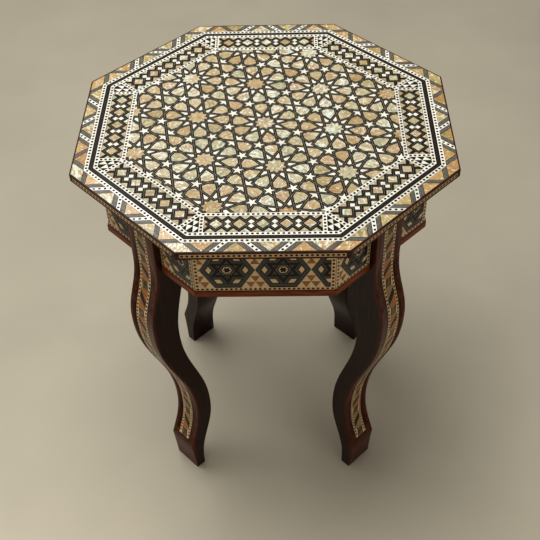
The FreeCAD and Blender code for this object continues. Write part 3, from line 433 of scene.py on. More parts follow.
def mark_tiles(bm, seed, lengthwise=False):
    draw = random.Random(seed)
    grain = bm.verts.layers.float_vector.new("grain")
    chance = bm.verts.layers.float_vector.new("chance")
    for tile in tiles_of(bm):
        faces = dict.fromkeys(face for vert in tile for face in vert.link_faces)
        widest = max(faces, key=lambda face: face.calc_area())
        along = longest_edge(widest)
        if not lengthwise:
            along.rotate(Matrix.Rotation(draw.uniform(0, math.pi), 3, widest.normal))
        across = widest.normal.cross(along)
        frame_of_tile = Matrix((along, across, widest.normal))
        centre = middle_of(tile)
        shift = Vector([draw.uniform(-WANDER, WANDER) for _ in range(3)])
        luck = Vector([draw.random() for _ in range(3)])
        for vert in tile:
            vert[grain] = frame_of_tile @ (vert.co - centre) / MM + shift
            vert[chance] = luck


print("weld distance:", WELD / MM, "mm")

# %% [markdown]
# The next helpers tell a shown face from a hidden one, sink it by a hair, soften edges, and turn a bmesh
# into a piece. Each piece rides on the body, and the nodes that it stands for are hidden.

# %% Shown faces and finished pieces
FACES_UP = 0.9
FACES_OUT = 0.85
SINK = 0.06 * MM


def top_side(face):
    return face.normal.z > FACES_UP


def outer_side(face):
    centre = face.calc_center_median()
    return face.normal.dot(Vector((centre.x, centre.y, 0)).normalized()) > FACES_OUT


def sink(bm, shows):
    lowered = {vert: face.normal.copy() for face in bm.faces if shows(face) for vert in face.verts}
    for vert, normal in lowered.items():
        vert.co -= normal * SINK


def soften(bm, edges, radius, segments=3, clamp=False):
    bmesh.ops.bevel(
        bm, geom=edges, offset=radius, offset_type="OFFSET", segments=segments, profile=0.5,
        affect="EDGES", material=-1, clamp_overlap=clamp)


def as_mesh(name, bm):
    mesh = bpy.data.meshes.new(name)
    bm.to_mesh(mesh)
    bm.free()
    return mesh


def pour(mesh, bm):
    bm.from_mesh(mesh)
    bpy.data.meshes.remove(mesh)


def add_piece(name, bm, material, slot, stands_for=(), seed=None, lengthwise=True):
    if seed is not None:
        mark_tiles(bm, seed, lengthwise)
    mesh = as_mesh(name, bm)
    mesh.materials.append(material)
    piece = show(bpy.data.objects.new(name, mesh))
    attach(piece, "root")
    if stands_for:
        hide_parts(*stands_for)
    print("%-26s %6d faces" % (name, len(mesh.polygons)))
    return piece


# %% [markdown]
# The brown triangles of the apron are orange at the border and dark round each star. They share one
# material, which picks between two woods by a third attribute, `near_star`.

# %% Two woods on the apron
STAR_REACH = 13 * MM


def make_apron_browns():
    material, tree, shader = varnished("orange_and_dark_wood", 0.4, 0.3, DARK_SPECULAR)
    streaks = noise(tree, attribute(tree, "grain"), 0.8, 6, ALONG, roughness=0.65)
    orange = tones(tree, streaks, ((106, 64, 30), (146, 94, 46), (176, 122, 66)))
    dark = tones(tree, streaks, ((50, 36, 23), (72, 53, 35), (96, 74, 50)))
    near = add(tree, "Attribute", attribute_name="near_star").outputs["Fac"]
    paint(tree, shader, mix(tree, near, orange, dark))
    return material


def mark_near_star(bm):
    grounds = merged("apron_star_grounds")
    stars = [middle_of(tile) for tile in tiles_of(grounds)]
    grounds.free()
    near_star = bm.verts.layers.float.new("near_star")
    for tile in tiles_of(bm):
        middle = middle_of(tile)
        near = any((middle - star).length < STAR_REACH for star in stars)
        for vert in tile:
            vert[near_star] = 1.0 if near else 0.0
    print("   stars on the apron:", len(stars))


apron_browns = make_apron_browns()

# %% [markdown]
# ## Tiles of the top and the apron
# Each group of tiles is a copy of its node, marked and finished. Where a finer line or a dot will lie on a
# group, its shown side is sunk by a hair, so that the line ends flush with the surface and nothing stands
# above the real top.

# %% Tiles
SUNK = ["rhombus_straps", "star_straps", "zigzag_straps", "black_band"]
TILE_GROUPS = [
    ("pearl_star_centres", "ten_point_stars", pearl, "pearl"),
    ("pearl_petals", "star_petals", pearl, "pearl"),
    ("pearl_rhombs", "rhombus_pearls", pearl, "pearl"),
    ("pearl_rhombus_edges", "rhombus_triangles", pearl, "pearl"),
    ("pearl_zigzag_tiles", "zigzag_pearls", golden_pearl, "pearl"),
    ("bone_kites", "star_kites", bone, "bone"),
    ("bone_cut_stars", "cut_stars", bone, "bone"),
    ("bone_five_point_stars", "five_point_stars", bone, "bone"),
    ("bone_small_rhombs", "rhombus_bones", bone, "bone"),
    ("bone_corner_teeth", "corner_bone_triangles", bone, "bone"),
    ("ebony_corner_teeth", "corner_ebony_triangles", black_wood, "ebony"),
    ("black_rhombus_straps", "rhombus_straps", black_wood, "ebony"),
    ("black_star_straps", "star_straps", black_wood, "ebony"),
    ("dark_zigzag_straps", "zigzag_straps", black_wood, "grey_striped_strap"),
    ("dark_ring", "black_band", black_wood, "black_band"),
    ("bone_apron_tiles", "apron_bones", warm_shaded_bone, "bone"),
    ("brown_apron_tiles", "apron_browns", apron_browns, "brown_wood"),
    ("bone_star_grounds", "apron_star_grounds", warm_shaded_bone, "bone"),
    ("ebony_apron_stars", "apron_stars", black_wood, "ebony"),
    ("black_apron_straps", "apron_straps", black_wood, "ebony"),
]

for seed, (name, node, material, slot) in enumerate(TILE_GROUPS):
    bm = merged(node, whole_faces=node != "star_straps")
    if node in SUNK:
        sink(bm, top_side)
    if node == "apron_browns":
        mark_near_star(bm)
    add_piece(name, bm, material, slot, [node], seed, lengthwise=material is black_wood)

# %% [markdown]
# ## Dotted strings
# A string is a strip of bone with square black dots let into it at an even pitch. One dot is made once, as
# a cube with its upright edges bevelled, and is then copied to each place.

# %% One dot
DOT_LONG = 2.4 * MM
DOT_WIDE = 2.2 * MM
DOT_DEPTH = 0.4 * MM
DOT_ROUND = 0.6 * MM


def make_dot(long, wide):
    bm = bmesh.new()
    shape = Matrix.LocRotScale(None, None, (long, wide, DOT_DEPTH))
    bmesh.ops.create_cube(bm, size=1, matrix=shape)
    upright = [edge for edge in bm.edges if abs(edge.verts[0].co.z - edge.verts[1].co.z) > WELD]
    soften(bm, upright, DOT_ROUND, segments=2)
    bmesh.ops.translate(bm, verts=bm.verts, vec=UP * (SINK - DOT_DEPTH / 2))
    return as_mesh("one_dot", bm)


def copies_at(shape, places):
    bm = bmesh.new()
    for place in places:
        one = shape.copy()
        one.transform(place)
        pour(one, bm)
    return bm


dot = make_dot(DOT_LONG, DOT_WIDE)
print("one dot:", len(dot.polygons), "faces")

# %% [markdown]
# The strips are copies of their nodes, sunk by a hair. The dots' places come from a strip's own shown face:
# its longest edge gives the direction, and its area divided by its width gives the length.

# %% Strings
DOT_PITCH = 4.4 * MM


def axes_at(origin, *axes):
    return Matrix.Translation(origin) @ Matrix(axes).transposed().to_4x4()


def span(values):
    values = list(values)
    return min(values), max(values)


def dot_places(bm, shows):
    places = []
    for face in filter(shows, bm.faces):
        along = longest_edge(face)
        across = face.normal.cross(along)
        left, right = span(vert.co.dot(across) for vert in face.verts)
        start, end = span(vert.co.dot(along) for vert in face.verts)
        length = face.calc_area() / (right - left)
        middle = along * (end + start) / 2
        middle += across * (right + left) / 2
        middle += face.normal * face.verts[0].co.dot(face.normal)
        count = max(1, round(length / DOT_PITCH))
        for number in range(count):
            step = (number + 0.5 - count / 2) * length / count
            places.append(axes_at(middle + along * step, along, across, face.normal))
    return places


STRINGS = [
    ("outer_ring_string", "outer_string", top_side, ivory),
    ("middle_ring_string", "middle_string", top_side, ivory),
    ("inner_ring_string", "inner_string", top_side, ivory),
    ("corner_short_strings", "corner_strings", top_side, ivory),
    ("zigzag_short_strings", "zigzag_strings", top_side, ivory),
    ("apron_frame_strings", "apron_strings", outer_side, apron_ivory_with_painted_shade),
    ("lipping_strings", "edge_strings", outer_side, lipping_ivory_with_painted_shade),
]

for seed, (name, node, shows, string_wood) in enumerate(STRINGS, start=50):
    bm = merged(node)
    sink(bm, shows)
    places = dot_places(bm, shows)
    add_piece(name, bm, string_wood, "dotted_string", [node], seed)
    add_piece(name + "_dots", copies_at(dot, places), black_wood, "ebony", (), seed, lengthwise=False)
    print("   dots:", len(places))

# %% [markdown]
# ## Light lines in the straps
# A strap is glued up from black, white and black veneer and then cut, so that a thin light line runs along
# its middle. The line lies half a strap outside every tile. So the tiles' own faces are grown by
# `inset_individual` with a negative thickness, and once more by half a line: the second rim is that tile's
# half of the line, and the neighbour's rim makes the other half. A last cut trims them at the border.

# %% Lines round the star tiles
STAR_STRAP = 3.2 * MM
LINE = 0.2 * MM
LINE_DEPTH = 0.4 * MM


def rims(names, distance):
    bm = bmesh.new()
    for name in names:
        one = merged(name)
        hidden = [face for face in one.faces if not top_side(face)]
        bmesh.ops.delete(one, geom=hidden, context="FACES")
        pour(as_mesh("tops", one), bm)
    tiles = bm.faces[:]
    for grow, keep in ((distance - LINE / 2, False), (LINE / 2, True)):
        rim = bmesh.ops.inset_individual(bm, faces=tiles, thickness=-grow, use_even_offset=True)["faces"]
        if not keep:
            bmesh.ops.delete(bm, geom=rim, context="FACES")
    bmesh.ops.delete(bm, geom=tiles, context="FACES_ONLY")
    bmesh.ops.reverse_faces(bm, faces=bm.faces)
    return bm


def all_parts(bm):
    return bm.verts[:] + bm.edges[:] + bm.faces[:]


def trim(bm, cuts):
    for point, outward in cuts:
        bmesh.ops.bisect_plane(
            bm, geom=all_parts(bm), dist=WELD, plane_co=point, plane_no=outward, clear_outer=True)


def thicken(bm):
    bmesh.ops.remove_doubles(bm, verts=bm.verts, dist=WELD)
    bmesh.ops.solidify(bm, geom=bm.faces[:], thickness=LINE_DEPTH)


field_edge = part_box("star_straps")[1].y
star_tiles = ["ten_point_stars", "star_petals", "star_kites", "cut_stars", "five_point_stars"]
lines = rims(star_tiles, STAR_STRAP / 2)
for side in range(8):
    outward = Matrix.Rotation(side * EIGHTH, 3, "Z") @ Vector((0, -1, 0))
    trim(lines, [(outward * field_edge, outward)])
thicken(lines)
add_piece("star_strap_lines", lines, light_line, "grey_striped_strap", (), 70, lengthwise=False)

# %% [markdown]
# The rhombus band repeats on eight sides. The lines are made for the front side alone, trimmed at that
# side's ends, and `spin` with `use_duplicate` copies them round the octagon. A cut can leave the faces in
# another order each time, so the lines are built anew from their sorted faces.

# %% Lines of the rhombus band
RHOMBUS_STRAP = 3.2 * MM
SPARE_RUN = 1.1
SPARE_DEPTH = 0.9


def on_front_side(place):
    return abs(math.atan2(place.x, -place.y)) < EIGHTH / 2


def round_the_octagon(bm):
    bmesh.ops.spin(
        bm, geom=all_parts(bm), cent=(0, 0, 0), axis=UP, angle=7 * EIGHTH, steps=7, use_duplicate=True)


def ring_of(face):
    ring = [vert.index for vert in face.verts]
    start = ring.index(min(ring))
    return ring[start:] + ring[:start]


def rebuilt(bm):
    bm.verts.index_update()
    mesh = bpy.data.meshes.new("rebuilt")
    mesh.from_pydata([vert.co for vert in bm.verts], [], sorted(map(ring_of, bm.faces)))
    bm.free()
    fresh = bmesh.new()
    pour(mesh, fresh)
    return fresh


def off_the_run(face):
    place = face.calc_center_median()
    return abs(place.x) > half_run * SPARE_RUN or place.y > far_edge * SPARE_DEPTH


straps = merged("rhombus_straps")
front = [vert.co for vert in straps.verts if on_front_side(vert.co)]
half_run = max(co.x for co in front)
near_edge, far_edge = span(co.y for co in front)
straps.free()
lines = rims(["rhombus_pearls", "rhombus_bones"], RHOMBUS_STRAP / 2)
bmesh.ops.delete(lines, geom=list(filter(off_the_run, lines.faces)), context="FACES")
trim(lines, [
    ((half_run, 0, 0), (1, 0, 0)),
    ((-half_run, 0, 0), (-1, 0, 0)),
    ((0, near_edge, 0), (0, -1, 0)),
    ((0, far_edge, 0), (0, 1, 0)),
])
thicken(lines)
round_the_octagon(lines)
add_piece("rhombus_strap_lines", rebuilt(lines), light_line, "grey_striped_strap", (), 71, lengthwise=False)

# %% [markdown]
# The slanting straps of the outer band show four light lines each. A strap's shown face has four corners,
# so a thin bar is a unit cube put through a matrix whose columns are the strap's long edge, a share of its
# short edge and the line's depth. The ends of the bar then slant as the strap's ends do.

# %% Lines in the zigzag straps
ZIGZAG_LINE_SHARES = (0.2, 0.4, 0.6, 0.8)
ZIGZAG_LINE_WIDE = 0.26 * MM


def bar_in(face, share, wide):
    corners = [loop.vert.co.copy() for loop in face.loops]
    if (corners[1] - corners[0]).length < (corners[2] - corners[1]).length:
        corners = corners[1:] + corners[:1]
    long = corners[1] - corners[0]
    short = corners[3] - corners[0]
    slant = long.angle(short)
    thin = short.normalized() * (wide / math.sin(slant))
    depth = face.normal * LINE_DEPTH
    centre = corners[0] + long / 2 + short * share + face.normal * (SINK - LINE_DEPTH / 2)
    return axes_at(centre, long, thin, depth)


straps = merged("zigzag_straps")
sink(straps, top_side)
bars = bmesh.new()
for face in filter(top_side, straps.faces):
    if len(face.verts) != 4:
        continue
    for share in ZIGZAG_LINE_SHARES:
        bmesh.ops.create_cube(bars, size=1, matrix=bar_in(face, share, ZIGZAG_LINE_WIDE))
straps.free()
bmesh.ops.recalc_face_normals(bars, faces=bars.faces)
add_piece("zigzag_strap_lines", bars, pale_line, "grey_striped_strap", (), 72)

# %% [markdown]
# The dark ring between the two dotted strings has a brown middle. It is an eight-sided circle, cut to a
# ring by an inset, and its mitres are split so that each side has its own grain.

# %% Brown middle of the dark ring
BROWN_SHARE = 0.44


def octagon_ring(outer, inner, level):
    bm = bmesh.new()
    turn = Matrix.Translation((0, 0, level)) @ Matrix.Rotation(EIGHTH / 2, 4, "Z")
    bmesh.ops.create_circle(
        bm, cap_ends=True, segments=8, radius=outer / math.cos(EIGHTH / 2), matrix=turn)
    disc = bm.faces[:]
    bmesh.ops.inset_individual(bm, faces=disc, thickness=outer - inner, use_even_offset=True)
    bmesh.ops.delete(bm, geom=disc, context="FACES_ONLY")
    mitres = [edge for edge in bm.edges if len(edge.link_faces) == 2]
    bmesh.ops.split_edges(bm, edges=mitres)
    bmesh.ops.solidify(bm, geom=bm.faces[:], thickness=LINE_DEPTH)
    return bm


ring_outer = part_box("black_band")[1].y
ring_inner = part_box("middle_string")[1].y
ring_middle = (ring_outer + ring_inner) / 2
brown_half = (ring_outer - ring_inner) * BROWN_SHARE / 2
ring = octagon_ring(ring_middle + brown_half, ring_middle - brown_half, top_level)
add_piece("brown_ring_middle", ring, brown_line, "black_band", (), 73)

# %% [markdown]
# ## Lines in the apron's hexagons
# Each hexagon on the apron is a wide strap with fine light lines. Inside it, lines follow two sides of each
# lozenge, and a brighter line rings the star in the middle. The lines are bars drawn flat for one hexagon,
# copied to each centre in a stretch, trimmed at the stretch's ends and stood up on the apron's face.

# %% One hexagon of lines
HEXAGON_RADIUS = 24.9 * MM
HEXAGON_STRAP = 4.6 * MM
HEXAGON_LINE_SHARES = (0.25, 0.5, 0.75)
LOZENGE_LINE_REACHES = (9.1 * MM, 10.4 * MM)
STAR_RING_REACH = 5.6 * MM
FINE_LINE = 0.26 * MM
RING_LINE = 0.45 * MM
PROUD = 0.05 * MM
COS_30 = math.cos(math.radians(30))
TAN_30 = math.tan(math.radians(30))


def flat_bar(bm, angle, reach, start, end, wide):
    turn = Matrix.Rotation(angle, 4, "Z")
    move = Matrix.Translation((reach, (start + end) / 2, PROUD - LINE_DEPTH / 2))
    size = Matrix.LocRotScale(None, None, (wide, end - start, LINE_DEPTH))
    bmesh.ops.create_cube(bm, size=1, matrix=turn @ move @ size)


def hexagon_lines():
    bm = bmesh.new()
    rim = HEXAGON_RADIUS * COS_30
    rim_inside = rim - HEXAGON_STRAP
    for number in range(6):
        angle = math.radians(30 + 60 * number)
        for share in HEXAGON_LINE_SHARES:
            reach = rim - HEXAGON_STRAP * share
            flat_bar(bm, angle, reach, -reach * TAN_30, reach * TAN_30, FINE_LINE)
        half_ring = STAR_RING_REACH * TAN_30
        flat_bar(bm, angle, STAR_RING_REACH, -half_ring, half_ring, RING_LINE)
        for reach in LOZENGE_LINE_REACHES:
            near = reach * TAN_30
            far = (rim_inside - reach / 2) / COS_30
            flat_bar(bm, angle, reach, near, far, FINE_LINE)
            flat_bar(bm, angle, reach, -far, -near, FINE_LINE)
    return as_mesh("one_hexagon", bm)


hexagon = hexagon_lines()
print("one hexagon:", len(hexagon.polygons), "faces")

# %% [markdown]
# The centres and the stretches are read from the tiles: a hexagon's centre is the middle of the bone round
# its star, and a stretch is framed by its lowest string.

# %% Places on the apron
def flattened(name, side):
    bm = merged(name)
    bmesh.ops.transform(bm, matrix=Matrix.Rotation(-side * EIGHTH, 4, "Z"), verts=bm.verts)
    return bm


def star_grounds(side):
    bm = flattened("apron_star_grounds", side)
    found = []
    for tile in tiles_of(bm):
        middle = middle_of(tile)
        if on_front_side(middle):
            left, right = span(vert.co.x for vert in tile)
            found.append((middle.x, right - left))
    bm.free()
    return found


def stretches(side):
    bm = flattened("apron_strings", side)
    boxes = []
    for tile in tiles_of(bm):
        if all(abs(vert.co.x) < -vert.co.y * math.tan(EIGHTH / 2) for vert in tile):
            across, levels = span(vert.co.x for vert in tile), span(vert.co.z for vert in tile)
            boxes.append((*across, *levels, min(vert.co.y for vert in tile)))
    bm.free()
    foot = min(box[2] for box in boxes)
    head = max(box[3] for box in boxes)
    rows = [box for box in boxes if box[2] < foot + MM and box[1] - box[0] > HEXAGON_STRAP]
    width = rows[0][3] - rows[0][2]
    spans = [(box[0] + width, box[1] - width) for box in rows]
    return sorted(spans), foot + width, head - width, rows[0][4]


print("stretches on the front:", len(stretches(0)[0]))

# %% [markdown]
# A row of hexagons starts two steps before the first whole one, so that the halves at the ends are there
# too. The trim leaves the bars open where it cuts them, and `holes_fill` closes them.

# %% Apron lines
HEXAGON_STEPS = range(-2, 4)
WHOLE_SHARE = 0.99

apron_lines = bmesh.new()
for side in range(8):
    spans, low, high, face_y = stretches(side)
    grounds = star_grounds(side)
    whole_width = WHOLE_SHARE * max(width for _, width in grounds)
    for start, end in spans:
        first = min(x for x, width in grounds if width > whole_width and start < x < end)
        pitch = 2 * HEXAGON_RADIUS
        height = (low + high) / 2
        places = [Matrix.Translation((first + pitch * step, height, 0)) for step in HEXAGON_STEPS]
        stretch = copies_at(hexagon, places)
        trim(stretch, [
            ((start, 0, 0), (-1, 0, 0)),
            ((end, 0, 0), (1, 0, 0)),
            ((0, low, 0), (0, -1, 0)),
            ((0, high, 0), (0, 1, 0)),
        ])
        open_ends = [edge for edge in stretch.edges if edge.is_boundary]
        bmesh.ops.holes_fill(stretch, edges=open_ends)
        upright = Matrix.Rotation(math.pi / 2, 4, "X")
        stand = Matrix.Rotation(side * EIGHTH, 4, "Z") @ Matrix.Translation((0, face_y, 0)) @ upright
        bmesh.ops.transform(stretch, matrix=stand, verts=stretch.verts)
        pour(as_mesh("stretch", stretch), apron_lines)
        print("   side", side, "from", round(start / MM, 1), "to", round(end / MM, 1))
bmesh.ops.recalc_face_normals(apron_lines, faces=apron_lines.faces)
add_piece("apron_strap_lines", apron_lines, grey_line, "grey_striped_strap", (), 74)

# %% [markdown]
# ## Edge lippings and mouldings
# The rim of the top and the moulding under the apron are red-brown wood with softened arrises, where the
# varnish catches the light. The rim's wood is painted darker than the moulding's, as shade on the top's side
# faces. The lipping's outer edges get a small bevel. The mouldings are round already.

# %% Lippings and mouldings
ARRIS = 0.5 * MM
SMOOTH_ANGLE = math.radians(35)


def smoothed(piece):
    piece.data.shade_smooth()
    piece.data.set_sharp_from_angle(angle=SMOOTH_ANGLE)
    weighted = piece.modifiers.new("weighted_normals", "WEIGHTED_NORMAL")
    weighted.keep_sharp = True
    return piece


def rim_edges(bm):
    chosen = []
    for edge in bm.edges:
        outside = sum(outer_side(face) for face in edge.link_faces)
        level = sum(abs(face.normal.z) > FACES_UP for face in edge.link_faces)
        height = edge.verts[0].co.z
        if outside == 1 and level == 1 and min(height - low_rim, high_rim - height) < WELD:
            chosen.append(edge)
    return chosen


lippings = merged("edge_lippings")
low_rim, high_rim = span(vert.co.z for vert in lippings.verts)
soften(lippings, rim_edges(lippings), ARRIS)
smoothed(add_piece("red_brown_lippings", lippings, rosewood_with_painted_shade, "rosewood_edge", ["edge_lippings"], 80))

mouldings = merged("apron_mouldings")
smoothed(add_piece("red_brown_mouldings", mouldings, rosewood, "rosewood_edge", ["apron_mouldings"], 81))

# %% [markdown]
# ## Legs
# A leg is sawn from a plank to a swan-neck curve. It is coloured red at the outer face and within a few
# millimetres of it on the sides, and nearly black deeper in the sides. All four legs stand on the
# diagonals, so the distance from the axis along a diagonal is the same sum of |x| and |y| for each. The
# outer profile is read from the strings on the leg, and a Float Curve node carries it into the material.

# %% Leg profile
FACES_FRONT = 0.5


def leg_profile():
    bm = merged("leg_strings")
    diagonal = Vector((1, -1, 0)).normalized()
    points = {}
    for face in bm.faces:
        far_side = face.calc_center_median().dot(diagonal) < top_level / 4
        if face.normal.dot(diagonal) < FACES_FRONT or far_side:
            continue
        for vert in face.verts:
            points[round(vert.co.z / MM, 3)] = vert.co.dot(diagonal)
    bm.free()
    return sorted((level * MM, reach) for level, reach in points.items())


profile = leg_profile()


def reach_at(level):
    for (z0, r0), (z1, r1) in zip(profile, profile[1:]):
        if z0 <= level <= z1:
            return r0 + (r1 - r0) * (level - z0) / (z1 - z0)
    return profile[0][1] if level < profile[0][0] else profile[-1][1]


print("leg profile:", len(profile), "levels, foot of the strip at", round(profile[0][0] / MM, 1), "mm")

# %% [markdown]
# The colour turns from red to nearly black where the depth below the outer profile passes a ragged limit of
# a few millimetres. The depth is worked out by Math nodes in metres, because Object coordinates are in
# metres.

# %% Leg wood
CURVE_POINTS = 24
RED_DEPTH = 4 * MM
RAGGED = (0.2, 1.8)
LEG_STOPS = (0.3, 0.5, 0.72)


def fill_curve(curve, low, high):
    points = curve.mapping.curves[0].points
    for number in range(CURVE_POINTS + 1):
        share = number / CURVE_POINTS
        value = reach_at(low + share * (high - low)) / top_level
        if number in (0, CURVE_POINTS):
            points[0 if number == 0 else -1].location = (share, value)
        else:
            points.new(share, value)
    curve.mapping.update()


def make_leg_wood():
    material, tree, shader = varnished("dark_leg_wood", 0.38, DARK_COAT, DARK_SPECULAR)
    place = object_millimetres(tree)
    streaks = noise(tree, place, 0.55, 6, (1, 1, 0.05), roughness=0.6)
    dark = tones(tree, streaks, ((18, 6, 3), (32, 11, 5), (50, 21, 10)), LEG_STOPS)
    red = tones(tree, streaks, ((36, 10, 3), (68, 23, 6), (108, 44, 12)), LEG_STOPS)
    split = add(tree, "SeparateXYZ", {0: add(tree, "TexCoord").outputs["Object"]})
    side_x = sums(tree, "ABSOLUTE", split.outputs["X"], 0.0)
    side_y = sums(tree, "ABSOLUTE", split.outputs["Y"], 0.0)
    reach = sums(tree, "MULTIPLY", sums(tree, "ADD", side_x, side_y), math.sqrt(0.5))
    low, high = profile[0][0], profile[-1][0]
    height = add(tree, "MapRange", {"Value": split.outputs["Z"], "From Min": low, "From Max": high})
    curve = add(tree, "FloatCurve", {"Value": height.outputs["Result"]})
    fill_curve(curve, low, high)
    outer = sums(tree, "MULTIPLY", curve.outputs["Value"], top_level)
    depth = sums(tree, "SUBTRACT", outer, reach)
    ragged = between(tree, noise(tree, place, 0.05, 3), *RAGGED)
    limit = sums(tree, "MULTIPLY", ragged, RED_DEPTH)
    share = sums(tree, "DIVIDE", depth, limit)
    red_to_dark = greys(tree, share, (0.1, 0), (1.0, 1))
    paint(tree, shader, mix(tree, red_to_dark, red, dark), between(tree, streaks, 0.45, 0.28))
    return material


leg_wood = make_leg_wood()
print("red to about", round(RED_DEPTH / MM), "mm deep")

# %% [markdown]
# The leg's long arrises are softened. They are the edges where a side of the plank meets its sawn outline:
# one face looks sideways, the other doesn't.

# %% Legs
LEG_ANGLES = {"leg_front_right": -45, "leg_back_right": 45, "leg_back_left": 135, "leg_front_left": -135}
LEG_ARRIS = 0.9 * MM
FACES_SIDE = 0.99
ON_SIDE = 10 * WELD


def long_arrises(bm, angle):
    sideways = Vector((-math.sin(angle), math.cos(angle), 0))
    half_width = max(vert.co.dot(sideways) for vert in bm.verts)
    chosen = []
    for edge in bm.edges:
        if len(edge.link_faces) != 2:
            continue
        facing = [abs(face.normal.dot(sideways)) > FACES_SIDE for face in edge.link_faces]
        on_side = all(abs(abs(vert.co.dot(sideways)) - half_width) < ON_SIDE for vert in edge.verts)
        below = all(vert.co.z < arris_top for vert in edge.verts)
        if facing.count(True) == 1 and on_side and below:
            chosen.append(edge)
    return chosen


arris_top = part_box("apron_board_front")[0].z - MM
for name, angle in LEG_ANGLES.items():
    bm = merged(name)
    arrises = long_arrises(bm, math.radians(angle))
    soften(bm, arrises, LEG_ARRIS, clamp=True)
    print("   arris edges:", len(arrises))
    smoothed(add_piece(name.replace("leg_", "swan_neck_leg_"), bm, leg_wood, "leg_wood", [name]))

# %% [markdown]
# ## Inlay of the legs
# The strip on a leg bends with it. Dots, slanting bars and lines are drawn flat, with x across the leg and
# y as the height, and are then laid on the leg: each point moves out to the profile at its own height. The
# left legs carry the mirrored strip.

# %% Laying a strip on the legs
def on_all_legs(name, bm, seed, material, slot, lengthwise=True):
    for vert in bm.verts:
        across, level, above = vert.co
        vert.co = (reach_at(level) + above, across, level)
    mesh = as_mesh("one_leg", bm)
    places = []
    for leg, angle in LEG_ANGLES.items():
        flip = Matrix.Scale(-1, 4, (0, 1, 0)) if leg.endswith("left") else Matrix.Identity(4)
        places.append(Matrix.Rotation(math.radians(angle), 4, "Z") @ flip)
    whole = copies_at(mesh, places)
    bmesh.ops.recalc_face_normals(whole, faces=whole.faces)
    add_piece(name, whole, material, slot, (), seed, lengthwise)


def front_right_boxes(name):
    bm = merged(name, whole_faces=False)
    bmesh.ops.transform(bm, matrix=Matrix.Rotation(EIGHTH, 4, "Z"), verts=bm.verts)
    boxes = []
    for tile in tiles_of(bm):
        if min(vert.co.x for vert in tile) > 0 and abs(tile[0].co.y) < abs(tile[0].co.x) / 2:
            boxes.append((*span(vert.co.y for vert in tile), *span(vert.co.z for vert in tile)))
    bm.free()
    return boxes


print("slanting straps on one leg:", len(front_right_boxes("leg_straps")))

# %% [markdown]
# The dots of a leg's strings keep their pitch along the curve, not along the height. So the walk down the
# profile adds up the length of each short step and sets a dot whenever a whole pitch has been travelled.

# %% Dots of the leg strings
LEG_DOT_LONG = 2.2 * MM
LEG_DOT_WIDE = 2.0 * MM
LEG_PITCH = 4.4 * MM


def string_dots():
    places = []
    for left, right, low, high in front_right_boxes("leg_strings"):
        travelled = LEG_PITCH / 2
        previous = profile[-1]
        for level, reach in reversed(profile[:-1]):
            step = math.hypot(previous[0] - level, previous[1] - reach)
            while travelled < step:
                share = travelled / step
                place = previous[0] + share * (level - previous[0])
                if low + LEG_DOT_LONG < place < high:
                    turn = Matrix.Rotation(math.pi / 2, 4, "Z")
                    places.append(Matrix.Translation(((left + right) / 2, place, 0)) @ turn)
                travelled += LEG_PITCH
            travelled -= step
            previous = (level, reach)
    return places


dots = copies_at(make_dot(LEG_DOT_LONG, LEG_DOT_WIDE), string_dots())
on_all_legs("leg_string_dots", dots, 90, black_wood, "ebony", lengthwise=False)

# %% [markdown]
# A slanting line or bar is one cube whose long edges are cut in four, so that it can bend with the leg. The
# straps get two grey lines each, and each pale block gets four dark bars.

# %% Lines and bars of the leg strip
STRAP_RISE = 10.0 * MM
STRAP_LINE_SHARES = (-0.22, 0.22)
BAR_COUNT = 4
BAR_WIDE = 1.65 * MM
BAR_LEAN = 1.8 * MM
BAR_MARGIN = 0.2 * MM


def strip_bar(bm, foot, head, wide):
    run = Vector((head[0] - foot[0], head[1] - foot[1], 0))
    middle = ((foot[0] + head[0]) / 2, (foot[1] + head[1]) / 2, PROUD - LINE_DEPTH / 2)
    place = axes_at(middle, run, (wide, 0, 0), UP * LINE_DEPTH)
    made = bmesh.ops.create_cube(bm, size=1, matrix=place)["verts"]
    long_edges = dict.fromkeys(
        edge for vert in made for edge in vert.link_edges
        if abs(edge.verts[0].co.y - edge.verts[1].co.y) > run.y / 2)
    bmesh.ops.subdivide_edges(bm, edges=list(long_edges), cuts=3, use_grid_fill=True)


lines = bmesh.new()
for left, right, low, high in front_right_boxes("leg_straps"):
    thick = high - low - STRAP_RISE
    for share in STRAP_LINE_SHARES:
        lift = thick * (share + 1 / 2)
        strip_bar(lines, (left, low + lift), (right, low + lift + STRAP_RISE), FINE_LINE)
on_all_legs("leg_strap_lines", lines, 92, grey_line, "grey_striped_strap")

bars = bmesh.new()
for left, right, low, high in front_right_boxes("leg_blocks"):
    pitch = (right - left - BAR_LEAN) / BAR_COUNT
    for number in range(BAR_COUNT):
        middle = (left + right) / 2 + (number - (BAR_COUNT - 1) / 2) * pitch
        foot = (middle - BAR_LEAN / 2, low + BAR_MARGIN)
        head = (middle + BAR_LEAN / 2, high - BAR_MARGIN)
        strip_bar(bars, foot, head, BAR_WIDE)
on_all_legs("leg_block_bars", bars, 91, black_wood, "ebony")

# %% [markdown]
# The strip itself is a copy of its nodes: ivory strings, black slanting straps, blocks of bone with painted
# shade under the bars, and tiles of light and orange wood. A tile's chance picks one of the two woods.

# %% Leg tiles
def make_two_woods():
    material, tree, shader = varnished("light_and_orange_wood", 0.35, 0.3, DARK_SPECULAR)
    grain = attribute(tree, "grain")
    streaks = noise(tree, grain, 0.8, 5, ALONG)
    light = tones(tree, streaks, ((128, 98, 56), (166, 134, 84)), (0.3, 0.6))
    orange = tones(tree, streaks, ((136, 78, 28), (184, 118, 54)), (0.3, 0.6))
    pick = greys(tree, chances(tree)["Y"], (0.4, 0), (0.42, 1))
    paint(tree, shader, mix(tree, pick, light, orange))
    return material


